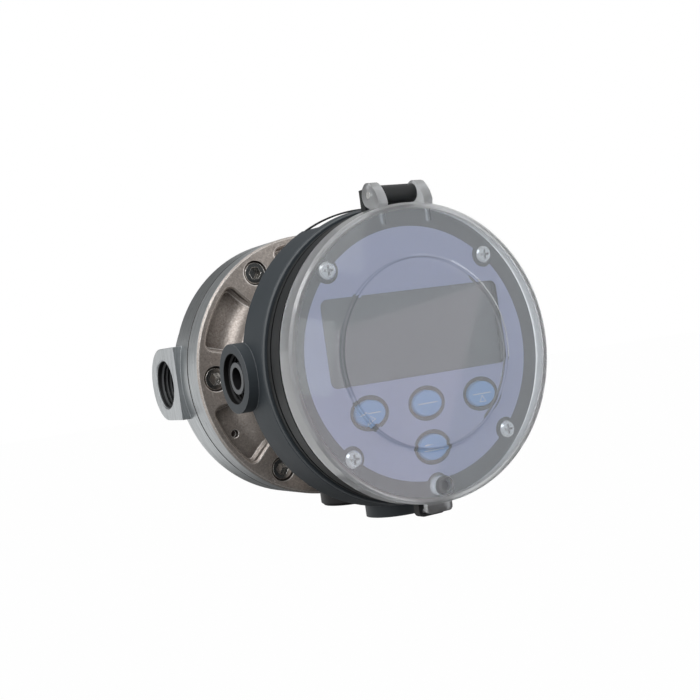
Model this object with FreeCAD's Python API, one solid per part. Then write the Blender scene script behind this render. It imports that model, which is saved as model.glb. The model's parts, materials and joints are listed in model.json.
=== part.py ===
import FreeCAD, Part
import math
import os

# Oval gear flow meter with a digital register: two oval rotors turn in a cast body between
# threaded ports, a sensor in the cap's hub counts their magnets, and a round display housing
# with a hinged clear lid stands on that hub.
# Frame: origin at the centre of the flat rear face, X along the pipe, -Y towards the reader, Z up.

# Cast body: base and cap
BASE_FLANGE_T = 15.7
CHAMBER_WALL = 11.2
REAR_BODY_DEPTH = 27.6
CAP_FLANGE_T = 11.5
BODY_EDGE_BREAK = 0.8
JOINT_EDGE_BREAK = 0.5
REAR_EDGE_ROUND = 3.0

# Threaded ports, G 1/2
PORT_SPAN = 121.0
PORT_FROM_REAR = 18.5
PORT_BOSS_HALF = 16.2
PORT_BORE_R = 10.48
PORT_BORE_LENGTH = 17.0
PORT_CHAMFER = 0.8
PASSAGE_R = 7.0

# Oval rotors and the chamber they sweep
ROTOR_SPACING = 35.0
ROTOR_LONG_R = 21.0
ROTOR_LENGTH = 28.0
ROTOR_TEETH = 44
TOOTH_DEPTH = 1.7
TOOTH_TIP_SHARE = 0.46
TOOTH_ROOT_SHARE = 0.34
ROTOR_RUN_CLEARANCE = 0.15
ROTOR_WALL_CLEARANCE = 0.3
ROTOR_END_CLEARANCE = 0.3
SHAFT_R = 3.0
SHAFT_RUN_CLEARANCE = 0.05
SHAFT_IN_BASE = 8.0
SHAFT_IN_CAP = 5.0
BUSH_WALL = 1.5
MAGNET_R = 2.5
MAGNET_T = 4.0
MAGNET_OFFSET = 11.0

# Cap screws, dowels and body seal
BOLT_COUNT = 6
BOLT_TO_SEAL = 5.5
BOLT_TO_EDGE = 8.2
BOLT_R = 3.0
BOLT_HEAD_R = 5.0
BOLT_HEAD_H = 6.0
BOLT_HEAD_RECESS = 0.5
BOLT_SOCKET_R = 2.9
BOLT_SOCKET_DEPTH = 3.2
BOLT_IN_BASE = 12.0
COUNTERBORE_GAP = 0.5
HOLE_GAP = 0.3
THREAD_GAP = 0.05
DOWEL_R = 2.0
DOWEL_IN_CAP = 5.0
DOWEL_IN_BASE = 7.0
SEAL_TO_CHAMBER = 3.4
SEAL_W = 2.6
SEAL_DEPTH = 1.9

# Proportions of a pan head and its cross recess
PAN_HEAD_SHARE = 1.8
PAN_HEIGHT_SHARE = 1.3
PAN_EDGE_SHARE = 0.4
RECESS_REACH_SHARE = 0.55
RECESS_WIDTH_SHARE = 0.13
RECESS_DEPTH_SHARE = 0.55

# Kidney pockets cast in the cap's face
POCKET_RIM = 3.7
POCKET_HALF_ANGLE = 16.0
POCKET_DEPTH = 5.0
POCKET_CORNER_R = 3.0
POCKET_FLOOR_BREAK = 1.2
POCKET_LIP_BREAK = 0.8
POCKET_SCOOP_R = 9.0
POCKET_HUB_GAP = 1.5
JACK_HOLE_R = 1.75
JACK_HOLE_INSET = 4.8
JACK_HOLE_DEPTH = 3.0

# Hub of the cap, sensor chamber and its conduit boss
HUB_R = 36.0
HUB_DRAFT = 1.5
HUB_FILLET = 5.5
HUB_HEIGHT = 36.2
HUB_WALL = 7.0
HUB_FLOOR_SINK = 1.0
CONDUIT_BOSS_R = 15.0
CONDUIT_BOSS_INSET = 3.0
CONDUIT_BOSS_FROM_CAP = 16.0
CONDUIT_BORE_R = 11.7
PLUG_HEAD_R = 15.0
PLUG_HEAD_T = 6.0
PLUG_EDGE = 1.2
PLUG_THREAD_LENGTH = 12.0
PLUG_SLOT_W = 3.0
PLUG_SLOT_DEPTH = 2.0
SENSOR_BOARD_GAP = 3.0
SENSOR_BOARD_T = 1.6
SENSOR_STANDOFF_R = 3.2
SENSOR_STANDOFF_H = 3.0
SENSOR_FIX_INSET = 5.0
SENSOR_SCREW_R = 1.5
SENSOR_CHIP = (6.0, 1.6, 8.0)

# Display housing
HUB_GASKET_T = 1.0
HOUSING_LIP_R = 60.0
HOUSING_DRAFT = 1.0
HOUSING_LIP_BREAK = 0.8
HOUSING_BAND = 16.4
HOUSING_TAIL_LEDGE = 8.0
HOUSING_DEPTH = 34.8
HOUSING_WALL = 3.0
HOUSING_FLOOR_T = 3.5
TOP_FLAT_DROP = 6.7
HOOP_RISE = 6.9
HOOP_FOOT_OVERHANG = 0.7
HOOP_T = 0.7
HOOP_W = 1.4
HOOP_SETBACK = 12.4
ENTRY_BOSS_R = 13.6
ENTRY_PROUD = 3.4
ENTRY_SETBACK = 18.8
ENTRY_BORE_R = 9.9
ENTRY_LENGTH = 18.0
GLAND_TUBE_R = 6.25
GLAND_HOLE_R = 4.35
GLAND_INSET = 1.2
GLAND_THREAD_SINK = 8.0
HOUSING_SCREW_R = 2.0
HOUSING_SCREW_ANGLE = 55.0
HOUSING_SCREW_IN_HUB = 9.0
WIRE_HOLE_R = 4.0
WIRE_HOLE_Z = 22.0

# Bezel, its seal and its screws
BEZEL_INSET = 1.5
BEZEL_STEP_INSET = 2.2
BEZEL_T = 12.3
BEZEL_STEP = 2.9
BEZEL_PLATE_T = 3.0
BEZEL_SPIGOT = 3.0
BEZEL_SPIGOT_WALL = 3.3
BEZEL_GROOVE_W = 1.3
BEZEL_GROOVE_DEPTH = 0.7
BEZEL_GROOVE_FROM_REAR = 1.6
BEZEL_GASKET_T = 1.6
BEZEL_GASKET_W = 1.3
SPIGOT_GAP = 0.3
BEZEL_SCREW_INSET = 5.81
BEZEL_SCREW_R = 1.8
BEZEL_SCREW_HEAD_R = 3.5
BEZEL_SCREW_HEAD_H = 2.0
BEZEL_SCREW_LENGTH = 22.0
SCREW_TUBE_R = 4.3
PILLAR_R = 4.5

# Label, window and keys
LABEL_INSET = 6.4
LABEL_T = 0.3
LABEL_NOTCH_R = 5.0
WINDOW_SIDE_MARGIN = 9.5
WINDOW_SCREW_DROP = 10.7
WINDOW_CORNER = 3.0
PANE_T = 1.5
PANE_LEDGE = 2.0
PANE_GAP = 0.2
KEY_HALF_W = 6.65
KEY_HALF_H = 5.05
KEY_GAP = 0.3
KEY_RING = 1.55
KEY_FLANGE = 1.2
KEY_FLANGE_T = 1.2
KEY_PROUD = 0.8
KEY_EDGE = 0.5
KEY_STEM_R = 2.2
KEY_STEM = 0.4
KEY_TRAVEL = 0.6
KEY_STOP_GAP = 0.15
KEY_PITCH_X = 25.7
KEY_ROW_DROP = 11.0
KEY_ROW_PITCH = 17.3
LOWER_KEY_INSET = 12.9

# Electronics behind the bezel
LCD_SIDE_LAP = 2.6
LCD_END_LAP = 3.15
LCD_T = 5.0
LCD_GLASS_SINK = 0.6
LCD_FRAME = 2.5
BOARD_GAP = 1.4
BOARD_T = 1.6
BOARD_STANDOFF = 5.7
BOARD_BOSS_R = 3.0
BOARD_SCREW_R = 1.25
BOARD_SCREW_IN_BOSS = 4.5
BOARD_FIX_INSET = 4.5
BOARD_FIX_TOP_INSET = 8.0
BOARD_FIX_SIDE_Z = -2.0
SWITCH_HALF = 3.0
TERMINAL_SIZE = (44.0, 9.0, 12.0)
TERMINAL_INSET = 26.0
TERMINAL_WAYS = 8
CELL_R = 7.2
CELL_LENGTH = 50.0
CELL_PITCH = 16.0
HOLDER_WALL = 1.6
HOLDER_GAP = 0.3

# Clear lid, hinge and catch
LID_OVERHANG = 0.5
LID_DRAFT = 0.5
LID_FACE_Y = 6.44
LID_SKIRT = 7.38
LID_FACE_T = 2.0
LID_SKIRT_T = 1.7
LID_EDGE_ROUND = 1.0
LID_DISC_INSET = 20.5
LID_DISC_PROUD = 1.5
LID_DISC_DRAFT = 1.5
HINGE_BEHIND_LABEL = 1.5
HINGE_RISE = 4.0
HINGE_BARREL_R = 3.6
HINGE_BARREL_HALF = 7.9
HINGE_SIDE_GAP = 0.3
HINGE_LUG_T = 4.0
HINGE_LUG_R = 4.8
LUG_FOOT_SETBACK = 0.4
LUG_BROW_ANGLE = 130.0
LUG_BROW_BULGE = 0.8
LUG_CHIN_ANGLE = -62.0
HINGE_PIN_R = 1.5
HINGE_BLOCK_HALF = 11.0
HINGE_BLOCK_T = 3.4
HINGE_BLOCK_RISE = 3.2
HINGE_BLOCK_GAP = 0.6
LID_RIB_T = 1.2
LID_RIB_H = 1.6
LID_RIB_DROP = 6.5
LID_POST_R = 4.0
LID_POST_HOLE_R = 2.3
LID_POST_HOLE_DEPTH = 1.8
LID_POST_GAP = 0.5
LID_POST_INSET = 6.9
CATCH_HALF = 6.0
CATCH_DROP = 5.3
CATCH_SETBACK = 3.0
CATCH_LENGTH = 4.0
CATCH_ROUND = 2.0
CATCH_SLOT_DEPTH = 3.0
TONGUE_HALF = 5.7
TONGUE_T = 1.4
TONGUE_DROP = 3.8
TONGUE_ROUND = 1.8
TONGUE_TAB_T = 3.0
TONGUE_NOSE_HALF = 4.0
TONGUE_ENGAGE = 2.2
TONGUE_GAP = 0.4

# Stations along the depth, from the rear face forwards
REAR_Y = 0.0
FLANGE_REAR_Y = REAR_Y - REAR_BODY_DEPTH
JOINT_Y = FLANGE_REAR_Y - BASE_FLANGE_T
CAP_Y = JOINT_Y - CAP_FLANGE_T
HUB_Y = CAP_Y - HUB_HEIGHT
HOUSING_REAR_Y = HUB_Y - HUB_GASKET_T
HOUSING_FLOOR_Y = HOUSING_REAR_Y - HOUSING_FLOOR_T
HOUSING_FRONT_Y = HOUSING_REAR_Y - HOUSING_DEPTH
BEZEL_REAR_Y = HOUSING_FRONT_Y - BEZEL_GASKET_T
BEZEL_FRONT_Y = BEZEL_REAR_Y - BEZEL_T
PLATE_REAR_Y = BEZEL_FRONT_Y + BEZEL_PLATE_T
SPIGOT_REAR_Y = BEZEL_REAR_Y + BEZEL_SPIGOT
LABEL_Y = BEZEL_FRONT_Y - LABEL_T
RIM_Y = BEZEL_FRONT_Y + BEZEL_STEP
CATCH_Y = RIM_Y + CATCH_SETBACK
BOARD_Y = PLATE_REAR_Y + BOARD_STANDOFF
PORT_Y = REAR_Y - PORT_FROM_REAR
CHAMBER_FLOOR_Y = JOINT_Y + ROTOR_LENGTH + 2 * ROTOR_END_CLEARANCE
ENTRY_Y = HOUSING_FRONT_Y + ENTRY_SETBACK
CONDUIT_Y = CAP_Y - CONDUIT_BOSS_FROM_CAP
HINGE_Y = LABEL_Y + HINGE_BEHIND_LABEL
HUB_CHAMBER_Y = CAP_Y + HUB_FLOOR_SINK
SENSOR_BOARD_Y = HUB_CHAMBER_Y - SENSOR_STANDOFF_H - SENSOR_BOARD_T

# Radii of the cast body, from the rotors outwards
ROTOR_Z = ROTOR_SPACING / 2
CHAMBER_R = ROTOR_LONG_R + ROTOR_WALL_CLEARANCE
BUSH_R = SHAFT_R + SHAFT_RUN_CLEARANCE + BUSH_WALL
REAR_BODY_R = ROTOR_Z + CHAMBER_R + CHAMBER_WALL
SEAL_R = ROTOR_Z + CHAMBER_R + SEAL_TO_CHAMBER + SEAL_W / 2
BOLT_CIRCLE_R = SEAL_R + SEAL_W / 2 + BOLT_TO_SEAL
BODY_R = BOLT_CIRCLE_R + BOLT_TO_EDGE
POCKET_OUTER_R = BODY_R - POCKET_RIM
JACK_HOLE_CIRCLE_R = POCKET_OUTER_R - JACK_HOLE_INSET
HUB_ROOT_R = HUB_R + HUB_DRAFT
HUB_CHAMBER_R = HUB_R - HUB_WALL
HOUSING_SCREW_CIRCLE_R = HUB_R - HUB_WALL / 2
SENSOR_BOARD_R = HUB_CHAMBER_R - SENSOR_BOARD_GAP
SENSOR_STANDOFF_CIRCLE_R = SENSOR_BOARD_R - SENSOR_FIX_INSET
CONDUIT_BOSS_REACH = BODY_R - CONDUIT_BOSS_INSET

# Radii and heights of the display, from the housing's lip
HOUSING_R = HOUSING_LIP_R + HOUSING_DRAFT
HOUSING_TAIL_R = HUB_R + HOUSING_TAIL_LEDGE
TOP_FLAT_Z = HOUSING_R - TOP_FLAT_DROP
ENTRY_REACH = HOUSING_R + ENTRY_PROUD
SPIGOT_R = HOUSING_LIP_R - HOUSING_WALL - SPIGOT_GAP
BOARD_R = SPIGOT_R - BEZEL_SPIGOT_WALL - BOARD_GAP
BEZEL_R = HOUSING_LIP_R - BEZEL_INSET
BEZEL_STEP_R = BEZEL_R - BEZEL_STEP_INSET
BEZEL_SCREW_CIRCLE_R = BEZEL_STEP_R - BEZEL_SCREW_INSET
LABEL_R = BEZEL_STEP_R - LABEL_INSET
LOWER_KEY_Z = LOWER_KEY_INSET - LABEL_R
KEY_ROW_Z = LOWER_KEY_Z + KEY_ROW_PITCH
WINDOW_BOTTOM = KEY_ROW_Z + KEY_ROW_DROP
WINDOW_TOP = BEZEL_SCREW_CIRCLE_R * math.sqrt(0.5) - WINDOW_SCREW_DROP
WINDOW_Z = (WINDOW_TOP + WINDOW_BOTTOM) / 2
WINDOW_H = WINDOW_TOP - WINDOW_BOTTOM
WINDOW_W = 2 * (LABEL_R - WINDOW_SIDE_MARGIN)
LCD_W = WINDOW_W + 2 * LCD_SIDE_LAP
LCD_H = WINDOW_H + 2 * LCD_END_LAP
TERMINAL_Z = TERMINAL_INSET - BOARD_R
LID_R = BEZEL_R + LID_OVERHANG
LID_DISC_R = LID_R - LID_DISC_INSET
LID_POST_Z = LID_POST_INSET - LID_R
HINGE_Z = LID_R + HINGE_RISE
HINGE_BLOCK_TOP = HINGE_Z + HINGE_BLOCK_RISE
CATCH_BOTTOM = LID_R + CATCH_DROP
TONGUE_BOTTOM = LID_R + TONGUE_DROP
OVER = 1.0

V = FreeCAD.Vector
ORIGIN = V(0, 0, 0)
X_AXIS = V(1, 0, 0)
Y_AXIS = V(0, 1, 0)
Z_AXIS = V(0, 0, 1)

os.makedirs("parts", exist_ok=True)


def save(name, shape):
    """Writes one sub-part."""
    shape.exportStep(f"parts/{name}.step")


def rod_y(radius, y_front, y_rear, x=0.0, z=0.0):
    """Cylinder along the depth between two stations."""
    return Part.makeCylinder(radius, y_rear - y_front, V(x, y_front, z), Y_AXIS)


def rod_x(radius, x_low, x_high, y, z):
    """Cylinder along the pipe direction."""
    return Part.makeCylinder(radius, x_high - x_low, V(x_low, y, z), X_AXIS)


def rod_z(radius, z_low, z_high, x, y):
    """Upright cylinder."""
    return Part.makeCylinder(radius, z_high - z_low, V(x, y, z_low), Z_AXIS)


def block(x, y, z):
    """Box given by its low and high value on each axis."""
    return Part.makeBox(x[1] - x[0], y[1] - y[0], z[1] - z[0], V(x[0], y[0], z[0]))


def tube_y(outer, inner, y_front, y_rear, x=0.0, z=0.0):
    """Ring or tube along the depth."""
    return rod_y(outer, y_front, y_rear, x, z).cut(rod_y(inner, y_front - OVER, y_rear + OVER, x, z))


def polyline(points):
    """Straight edges through the points, closed."""
    return [Part.makeLine(a, b) for a, b in zip(points, points[1:] + points[:1])]


def turned(outline):
    """Solid of revolution about the meter's axis from (radius, y) points."""
    points = [V(r, y, 0) for r, y in outline]
    return Part.Face(Part.Wire(polyline(points))).revolve(ORIGIN, Y_AXIS, 360)


def oval(half_w, half_h, y_front, y_rear, x, z):
    """Elliptical plug along the depth."""
    centre = V(x, y_front, z)
    edge = Part.Ellipse(centre + V(half_w, 0, 0), centre + V(0, 0, half_h), centre).toShape()
    return Part.Face(Part.Wire([edge])).extrude(V(0, y_rear - y_front, 0))


def along_depth(edge):
    """Whether an edge runs along the meter's axis."""
    return abs(edge.tangentAt(edge.FirstParameter).y) > 0.99


def off_axis(edge):
    """Distance of an edge's middle from the meter's axis."""
    return math.hypot(edge.CenterOfMass.x, edge.CenterOfMass.z)


def edges_at(shape, y):
    """Edges that lie wholly at one station."""
    return [e for e in shape.Edges if max(abs(e.BoundBox.YMin - y), abs(e.BoundBox.YMax - y)) < 1e-4]


def round_below(shape, radius):
    """Rounds the two lowest corners that run along the depth."""
    low = shape.BoundBox.ZMin + 1e-4
    return shape.makeFillet(radius, [e for e in shape.Edges if along_depth(e) and e.BoundBox.ZMax < low])


def rounded_plate(width, height, corner, y_front, y_rear, z):
    """Rectangular plate facing the reader, with rounded corners."""
    plate = block((-width / 2, width / 2), (y_front, y_rear), (z - height / 2, z + height / 2))
    return plate.makeFillet(corner, [e for e in plate.Edges if along_depth(e)])


def edges_on(shape, y, radius):
    """Circular edges of a turned shape at a station and radius."""
    found = []
    for edge in shape.Edges:
        if edge.Curve.TypeId != "Part::GeomCircle":
            continue
        if abs(edge.Curve.Center.y - y) < 1e-4 and abs(edge.Curve.Radius - radius) < 1e-4:
            found.append(edge)
    return found


def around(shape, angles):
    """Copies of a shape turned about the meter's axis."""
    copies = []
    for angle in angles:
        copy = shape.copy()
        copy.rotate(ORIGIN, Y_AXIS, -angle)
        copies.append(copy)
    return copies


def four_corners(reach, angle=45.0):
    """Four positions at one radius, mirrored about both centre lines."""
    x = reach * math.cos(math.radians(angle))
    z = reach * math.sin(math.radians(angle))
    return [(sx * x, sz * z) for sx in (-1, 1) for sz in (-1, 1)]


BOLT_ANGLES = [i * 360.0 / BOLT_COUNT for i in range(BOLT_COUNT)]
POCKET_ANGLES = [a + 180.0 / BOLT_COUNT for a in BOLT_ANGLES]
DOWEL_SPOTS = ((0.0, BOLT_CIRCLE_R), (0.0, -BOLT_CIRCLE_R))
ROTOR_CENTRES = {"upper": ROTOR_Z, "lower": -ROTOR_Z}
BOLT_SEAT_Y = CAP_Y + BOLT_HEAD_RECESS + BOLT_HEAD_H


def rotor_outline():
    """Tip curve of a rotor, long axis along X, with its running clearance taken off.

    Each end is one round lobe. Each flank is the curve that the other rotor's lobe rolls out
    when both turn at the same speed, so the tips stay one clearance apart all the way round.
    """
    pitch_r = ROTOR_SPACING / 2
    lobe_centre = (ROTOR_LONG_R ** 2 - pitch_r ** 2) / (2 * ROTOR_LONG_R - math.sqrt(2) * pitch_r)
    lobe_r = ROTOR_LONG_R - lobe_centre
    corner = pitch_r * math.sqrt(0.5)
    lobe_end = math.atan2(corner, corner - lobe_centre)
    steps = 60
    points = []
    for half_turn in (0.0, math.pi):
        spin = complex(math.cos(half_turn), math.sin(half_turn))
        for i in range(steps):
            a = lobe_end * (2.0 * i / steps - 1.0)
            lobe = lobe_centre + (lobe_r - ROTOR_RUN_CLEARANCE) * complex(math.cos(a), math.sin(a))
            points.append(spin * lobe)
        for i in range(steps):
            a = math.pi / 4 + math.pi / 2 * i / steps
            towards = complex(math.cos(a), math.sin(a))
            swing = lobe_centre * complex(math.cos(2 * a - math.pi / 2), math.sin(2 * a - math.pi / 2))
            other_lobe = 2 * pitch_r * towards - swing
            normal = swing - pitch_r * towards
            points.append(spin * (other_lobe + (lobe_r + ROTOR_RUN_CLEARANCE) * normal / abs(normal)))
    return points


def toothed_wire(outline, y):
    """Evenly spaced teeth with their tips on the outline."""
    lengths = [0.0]
    closed = outline + outline[:1]
    for a, b in zip(closed, closed[1:]):
        lengths.append(lengths[-1] + abs(b - a))

    def at(distance):
        distance = distance % lengths[-1]
        i = 0
        while lengths[i + 1] < distance:
            i += 1
        share = (distance - lengths[i]) / (lengths[i + 1] - lengths[i])
        step = closed[i + 1] - closed[i]
        return closed[i] + share * step, step / abs(step)

    pitch = lengths[-1] / ROTOR_TEETH
    points = []
    for tooth in range(ROTOR_TEETH):
        middle = tooth * pitch
        for side in (-1, 1):
            point, along = at(middle + side * pitch * TOOTH_TIP_SHARE / 2)
            points.append(point)
        for side in (-1, 1):
            point, along = at(middle + pitch / 2 + side * pitch * TOOTH_ROOT_SHARE / 2)
            points.append(point + TOOTH_DEPTH * along * 1j)
    return Part.Wire(polyline([V(p.real, y, p.imag) for p in points]))


def make_rotor(upright, with_magnets):
    """Oval gear about its own shaft axis at Z = 0."""
    y_front = JOINT_Y + ROTOR_END_CLEARANCE
    y_rear = y_front + ROTOR_LENGTH
    gear = Part.Face(toothed_wire(rotor_outline(), y_front)).extrude(V(0, ROTOR_LENGTH, 0))
    gear = gear.cut(rod_y(BUSH_R, y_front - OVER, y_rear + OVER))
    magnets = []
    if with_magnets:
        for side in (-1, 1):
            magnets.append(rod_y(MAGNET_R, y_front, y_front + MAGNET_T, side * MAGNET_OFFSET))
        gear = gear.cut(Part.makeCompound(magnets))
    bush = tube_y(BUSH_R, SHAFT_R + SHAFT_RUN_CLEARANCE, y_front, y_rear)
    pieces = [gear, bush] + magnets
    if upright:
        for piece in pieces:
            piece.rotate(ORIGIN, Y_AXIS, 90)
    return gear, bush, magnets


def make_base():
    """Base casting: flange, rear body, port bosses, measuring chamber and bores."""
    flange = rod_y(BODY_R, JOINT_Y, FLANGE_REAR_Y)
    flange = flange.makeChamfer(BODY_EDGE_BREAK, edges_on(flange, FLANGE_REAR_Y, BODY_R))
    flange = flange.makeChamfer(JOINT_EDGE_BREAK, edges_on(flange, JOINT_Y, BODY_R))
    rear = rod_y(REAR_BODY_R, JOINT_Y, REAR_Y)
    rear = rear.makeFillet(REAR_EDGE_ROUND, edges_on(rear, REAR_Y, REAR_BODY_R))
    half = PORT_BOSS_HALF
    reach = PORT_SPAN / 2
    boss = rod_x(half, -reach, reach, PORT_Y, 0)
    boss = boss.fuse(block((-reach, reach), (PORT_Y - half, PORT_Y), (-half, half)))
    base = flange.fuse([rear, boss]).removeSplitter()
    for z in ROTOR_CENTRES.values():
        base = base.cut(rod_y(CHAMBER_R, JOINT_Y - OVER, CHAMBER_FLOOR_Y, 0, z))
        base = base.cut(rod_y(SHAFT_R, CHAMBER_FLOOR_Y - OVER, CHAMBER_FLOOR_Y + SHAFT_IN_BASE, 0, z))
    cusp = math.sqrt(CHAMBER_R ** 2 - ROTOR_Z ** 2)
    for side in (-1, 1):
        mouth = Part.makeCone(PORT_BORE_R + PORT_CHAMFER, PORT_BORE_R, PORT_CHAMFER,
                              V(side * reach, PORT_Y, 0), V(-side, 0, 0))
        thread = Part.makeCylinder(PORT_BORE_R, PORT_BORE_LENGTH, V(side * reach, PORT_Y, 0), V(-side, 0, 0))
        passage = Part.makeCylinder(PASSAGE_R, reach - cusp, V(side * reach, PORT_Y, 0), V(-side, 0, 0))
        base = base.cut(mouth.fuse([thread, passage]))
    groove = tube_y(SEAL_R + SEAL_W / 2, SEAL_R - SEAL_W / 2, JOINT_Y - OVER, JOINT_Y + SEAL_DEPTH)
    base = base.cut(groove)
    tapped = rod_y(BOLT_R + THREAD_GAP, JOINT_Y - OVER, JOINT_Y + BOLT_IN_BASE + OVER, BOLT_CIRCLE_R)
    base = base.cut(Part.makeCompound(around(tapped, BOLT_ANGLES)))
    for x, z in DOWEL_SPOTS:
        base = base.cut(rod_y(DOWEL_R, JOINT_Y - OVER, JOINT_Y + DOWEL_IN_BASE, x, z))
    return base


def pocket_tool():
    """One kidney pocket: flat floor, scooped wall towards the hub, rounded corners all round."""
    floor_y = CAP_Y + POCKET_DEPTH
    outer_r = POCKET_OUTER_R
    scoop_foot = HUB_ROOT_R + POCKET_HUB_GAP + POCKET_SCOOP_R
    start = V(scoop_foot - POCKET_SCOOP_R, floor_y - POCKET_SCOOP_R, 0)
    low = POCKET_SCOOP_R * math.sqrt(0.5)
    middle = V(scoop_foot - low, floor_y - POCKET_SCOOP_R + low, 0)
    foot = V(scoop_foot, floor_y, 0)
    top_y = floor_y - POCKET_SCOOP_R - OVER
    edges = [Part.Arc(start, middle, foot).toShape()]
    corners = [foot, V(outer_r, floor_y, 0), V(outer_r, top_y, 0), V(start.x, top_y, 0), start]
    edges += [Part.makeLine(a, b) for a, b in zip(corners, corners[1:])]
    ring = Part.Face(Part.Wire(edges)).revolve(ORIGIN, Y_AXIS, 360)
    half = math.radians(POCKET_HALF_ANGLE)

    def spot(radius, angle):
        return V(radius * math.cos(angle), top_y, radius * math.sin(angle))

    inside = HUB_R / 2
    outline = [
        Part.makeLine(spot(inside, -half), spot(outer_r, -half)),
        Part.Arc(spot(outer_r, -half), spot(outer_r, 0), spot(outer_r, half)).toShape(),
        Part.makeLine(spot(outer_r, half), spot(inside, half)),
        Part.makeLine(spot(inside, half), spot(inside, -half)),
    ]
    sector = Part.Face(Part.Wire(outline)).extrude(V(0, floor_y - top_y + OVER, 0))
    upright = []
    for edge in sector.Edges:
        if along_depth(edge) and off_axis(edge) > HUB_R:
            upright.append(edge)
    pocket = ring.common(sector.makeFillet(POCKET_CORNER_R, upright))
    floor = [e for e in edges_at(pocket, floor_y) if off_axis(e) > scoop_foot]
    return pocket.makeChamfer(POCKET_FLOOR_BREAK, floor)


def make_cap():
    """Cap casting: bolted flange with pockets, and the hub that carries the display."""
    low = HUB_FILLET * math.sqrt(0.5)
    fillet = Part.Arc(V(HUB_ROOT_R + HUB_FILLET, CAP_Y, 0),
                      V(HUB_ROOT_R + HUB_FILLET - low, CAP_Y - HUB_FILLET + low, 0),
                      V(HUB_ROOT_R, CAP_Y - HUB_FILLET, 0)).toShape()
    points = [V(HUB_ROOT_R, CAP_Y - HUB_FILLET, 0), V(HUB_R, HUB_Y, 0), V(0, HUB_Y, 0), V(0, JOINT_Y, 0),
              V(BODY_R - JOINT_EDGE_BREAK, JOINT_Y, 0), V(BODY_R, JOINT_Y - JOINT_EDGE_BREAK, 0),
              V(BODY_R, CAP_Y + BODY_EDGE_BREAK, 0),
              V(BODY_R - BODY_EDGE_BREAK, CAP_Y, 0), V(HUB_ROOT_R + HUB_FILLET, CAP_Y, 0)]
    edges = [Part.makeLine(a, b) for a, b in zip(points, points[1:])] + [fillet]
    cap = Part.Face(Part.Wire(edges)).revolve(ORIGIN, Y_AXIS, 360)
    cap = cap.cut(Part.makeCompound(around(pocket_tool(), POCKET_ANGLES)))
    lips = [e for e in edges_at(cap, CAP_Y) if HUB_ROOT_R + HUB_FILLET < off_axis(e) < POCKET_OUTER_R]
    cap = cap.makeChamfer(POCKET_LIP_BREAK, lips)
    cap = cap.fuse(rod_z(CONDUIT_BOSS_R, -CONDUIT_BOSS_REACH, 0, 0, CONDUIT_Y))
    cap = cap.cut(rod_y(HUB_CHAMBER_R, HUB_Y - OVER, HUB_CHAMBER_Y))
    cap = cap.cut(rod_z(CONDUIT_BORE_R, -CONDUIT_BOSS_REACH - OVER, 0, 0, CONDUIT_Y))
    hole = rod_y(BOLT_R + HOLE_GAP, BOLT_SEAT_Y - OVER, JOINT_Y + OVER, BOLT_CIRCLE_R)
    hole = hole.fuse(rod_y(BOLT_HEAD_R + COUNTERBORE_GAP, CAP_Y - OVER, BOLT_SEAT_Y, BOLT_CIRCLE_R))
    cap = cap.cut(Part.makeCompound(around(hole, BOLT_ANGLES)))
    for x, z in DOWEL_SPOTS:
        cap = cap.cut(rod_y(DOWEL_R, JOINT_Y - DOWEL_IN_CAP, JOINT_Y + OVER, x, z))
    for z in ROTOR_CENTRES.values():
        cap = cap.cut(rod_y(SHAFT_R, JOINT_Y - SHAFT_IN_CAP, JOINT_Y + OVER, 0, z))
    floor_y = CAP_Y + POCKET_DEPTH
    jack = rod_y(JACK_HOLE_R, floor_y - OVER, floor_y + JACK_HOLE_DEPTH, JACK_HOLE_CIRCLE_R)
    cap = cap.cut(around(jack, [POCKET_ANGLES[3]])[0])
    for x, z in HOUSING_SCREWS:
        depth = HUB_Y + HOUSING_SCREW_IN_HUB + OVER
        cap = cap.cut(rod_y(HOUSING_SCREW_R + THREAD_GAP, HUB_Y - OVER, depth, x, z))
    for x, z in SENSOR_SCREWS:
        post = rod_y(SENSOR_STANDOFF_R, HUB_CHAMBER_Y - SENSOR_STANDOFF_H, HUB_CHAMBER_Y, x, z)
        cap = cap.fuse(post)
    for x, z in SENSOR_SCREWS:
        top = HUB_CHAMBER_Y - SENSOR_STANDOFF_H
        cap = cap.cut(rod_y(SENSOR_SCREW_R + THREAD_GAP, top - OVER, HUB_CHAMBER_Y + OVER, x, z))
    return cap.removeSplitter()


def socket_screw(seat_y, reach, x, z):
    """Socket head cap screw with its head towards the reader."""
    head = rod_y(BOLT_HEAD_R, seat_y - BOLT_HEAD_H, seat_y, x, z)
    head = head.makeChamfer(BOLT_HEAD_R * 0.1, edges_on(head, seat_y - BOLT_HEAD_H, BOLT_HEAD_R))
    top = seat_y - BOLT_HEAD_H
    corners = []
    for i in range(6):
        a = math.radians(60 * i)
        corners.append(V(x + BOLT_SOCKET_R * math.cos(a), top - OVER, z + BOLT_SOCKET_R * math.sin(a)))
    socket = Part.Face(Part.Wire(polyline(corners))).extrude(V(0, BOLT_SOCKET_DEPTH + OVER, 0))
    return head.cut(socket).fuse(rod_y(BOLT_R, seat_y, seat_y + reach, x, z))


def pan_screw(shank_r, seat_y, reach, x, z, head_r=None, head_h=None):
    """Pan head screw with a cross recess, its head towards the reader."""
    head_r = head_r or shank_r * PAN_HEAD_SHARE
    head_h = head_h or shank_r * PAN_HEIGHT_SHARE
    top = seat_y - head_h
    head = rod_y(head_r, top, seat_y, x, z)
    head = head.makeChamfer(head_h * PAN_EDGE_SHARE, edges_on(head, top, head_r))
    wing = head_r * RECESS_REACH_SHARE
    slot = head_r * RECESS_WIDTH_SHARE
    depth = (top - OVER, top + head_h * RECESS_DEPTH_SHARE)
    cross = block((x - wing, x + wing), depth, (z - slot, z + slot))
    cross = cross.fuse(block((x - slot, x + slot), depth, (z - wing, z + wing)))
    return head.cut(cross).fuse(rod_y(shank_r, seat_y, seat_y + reach, x, z))


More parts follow.
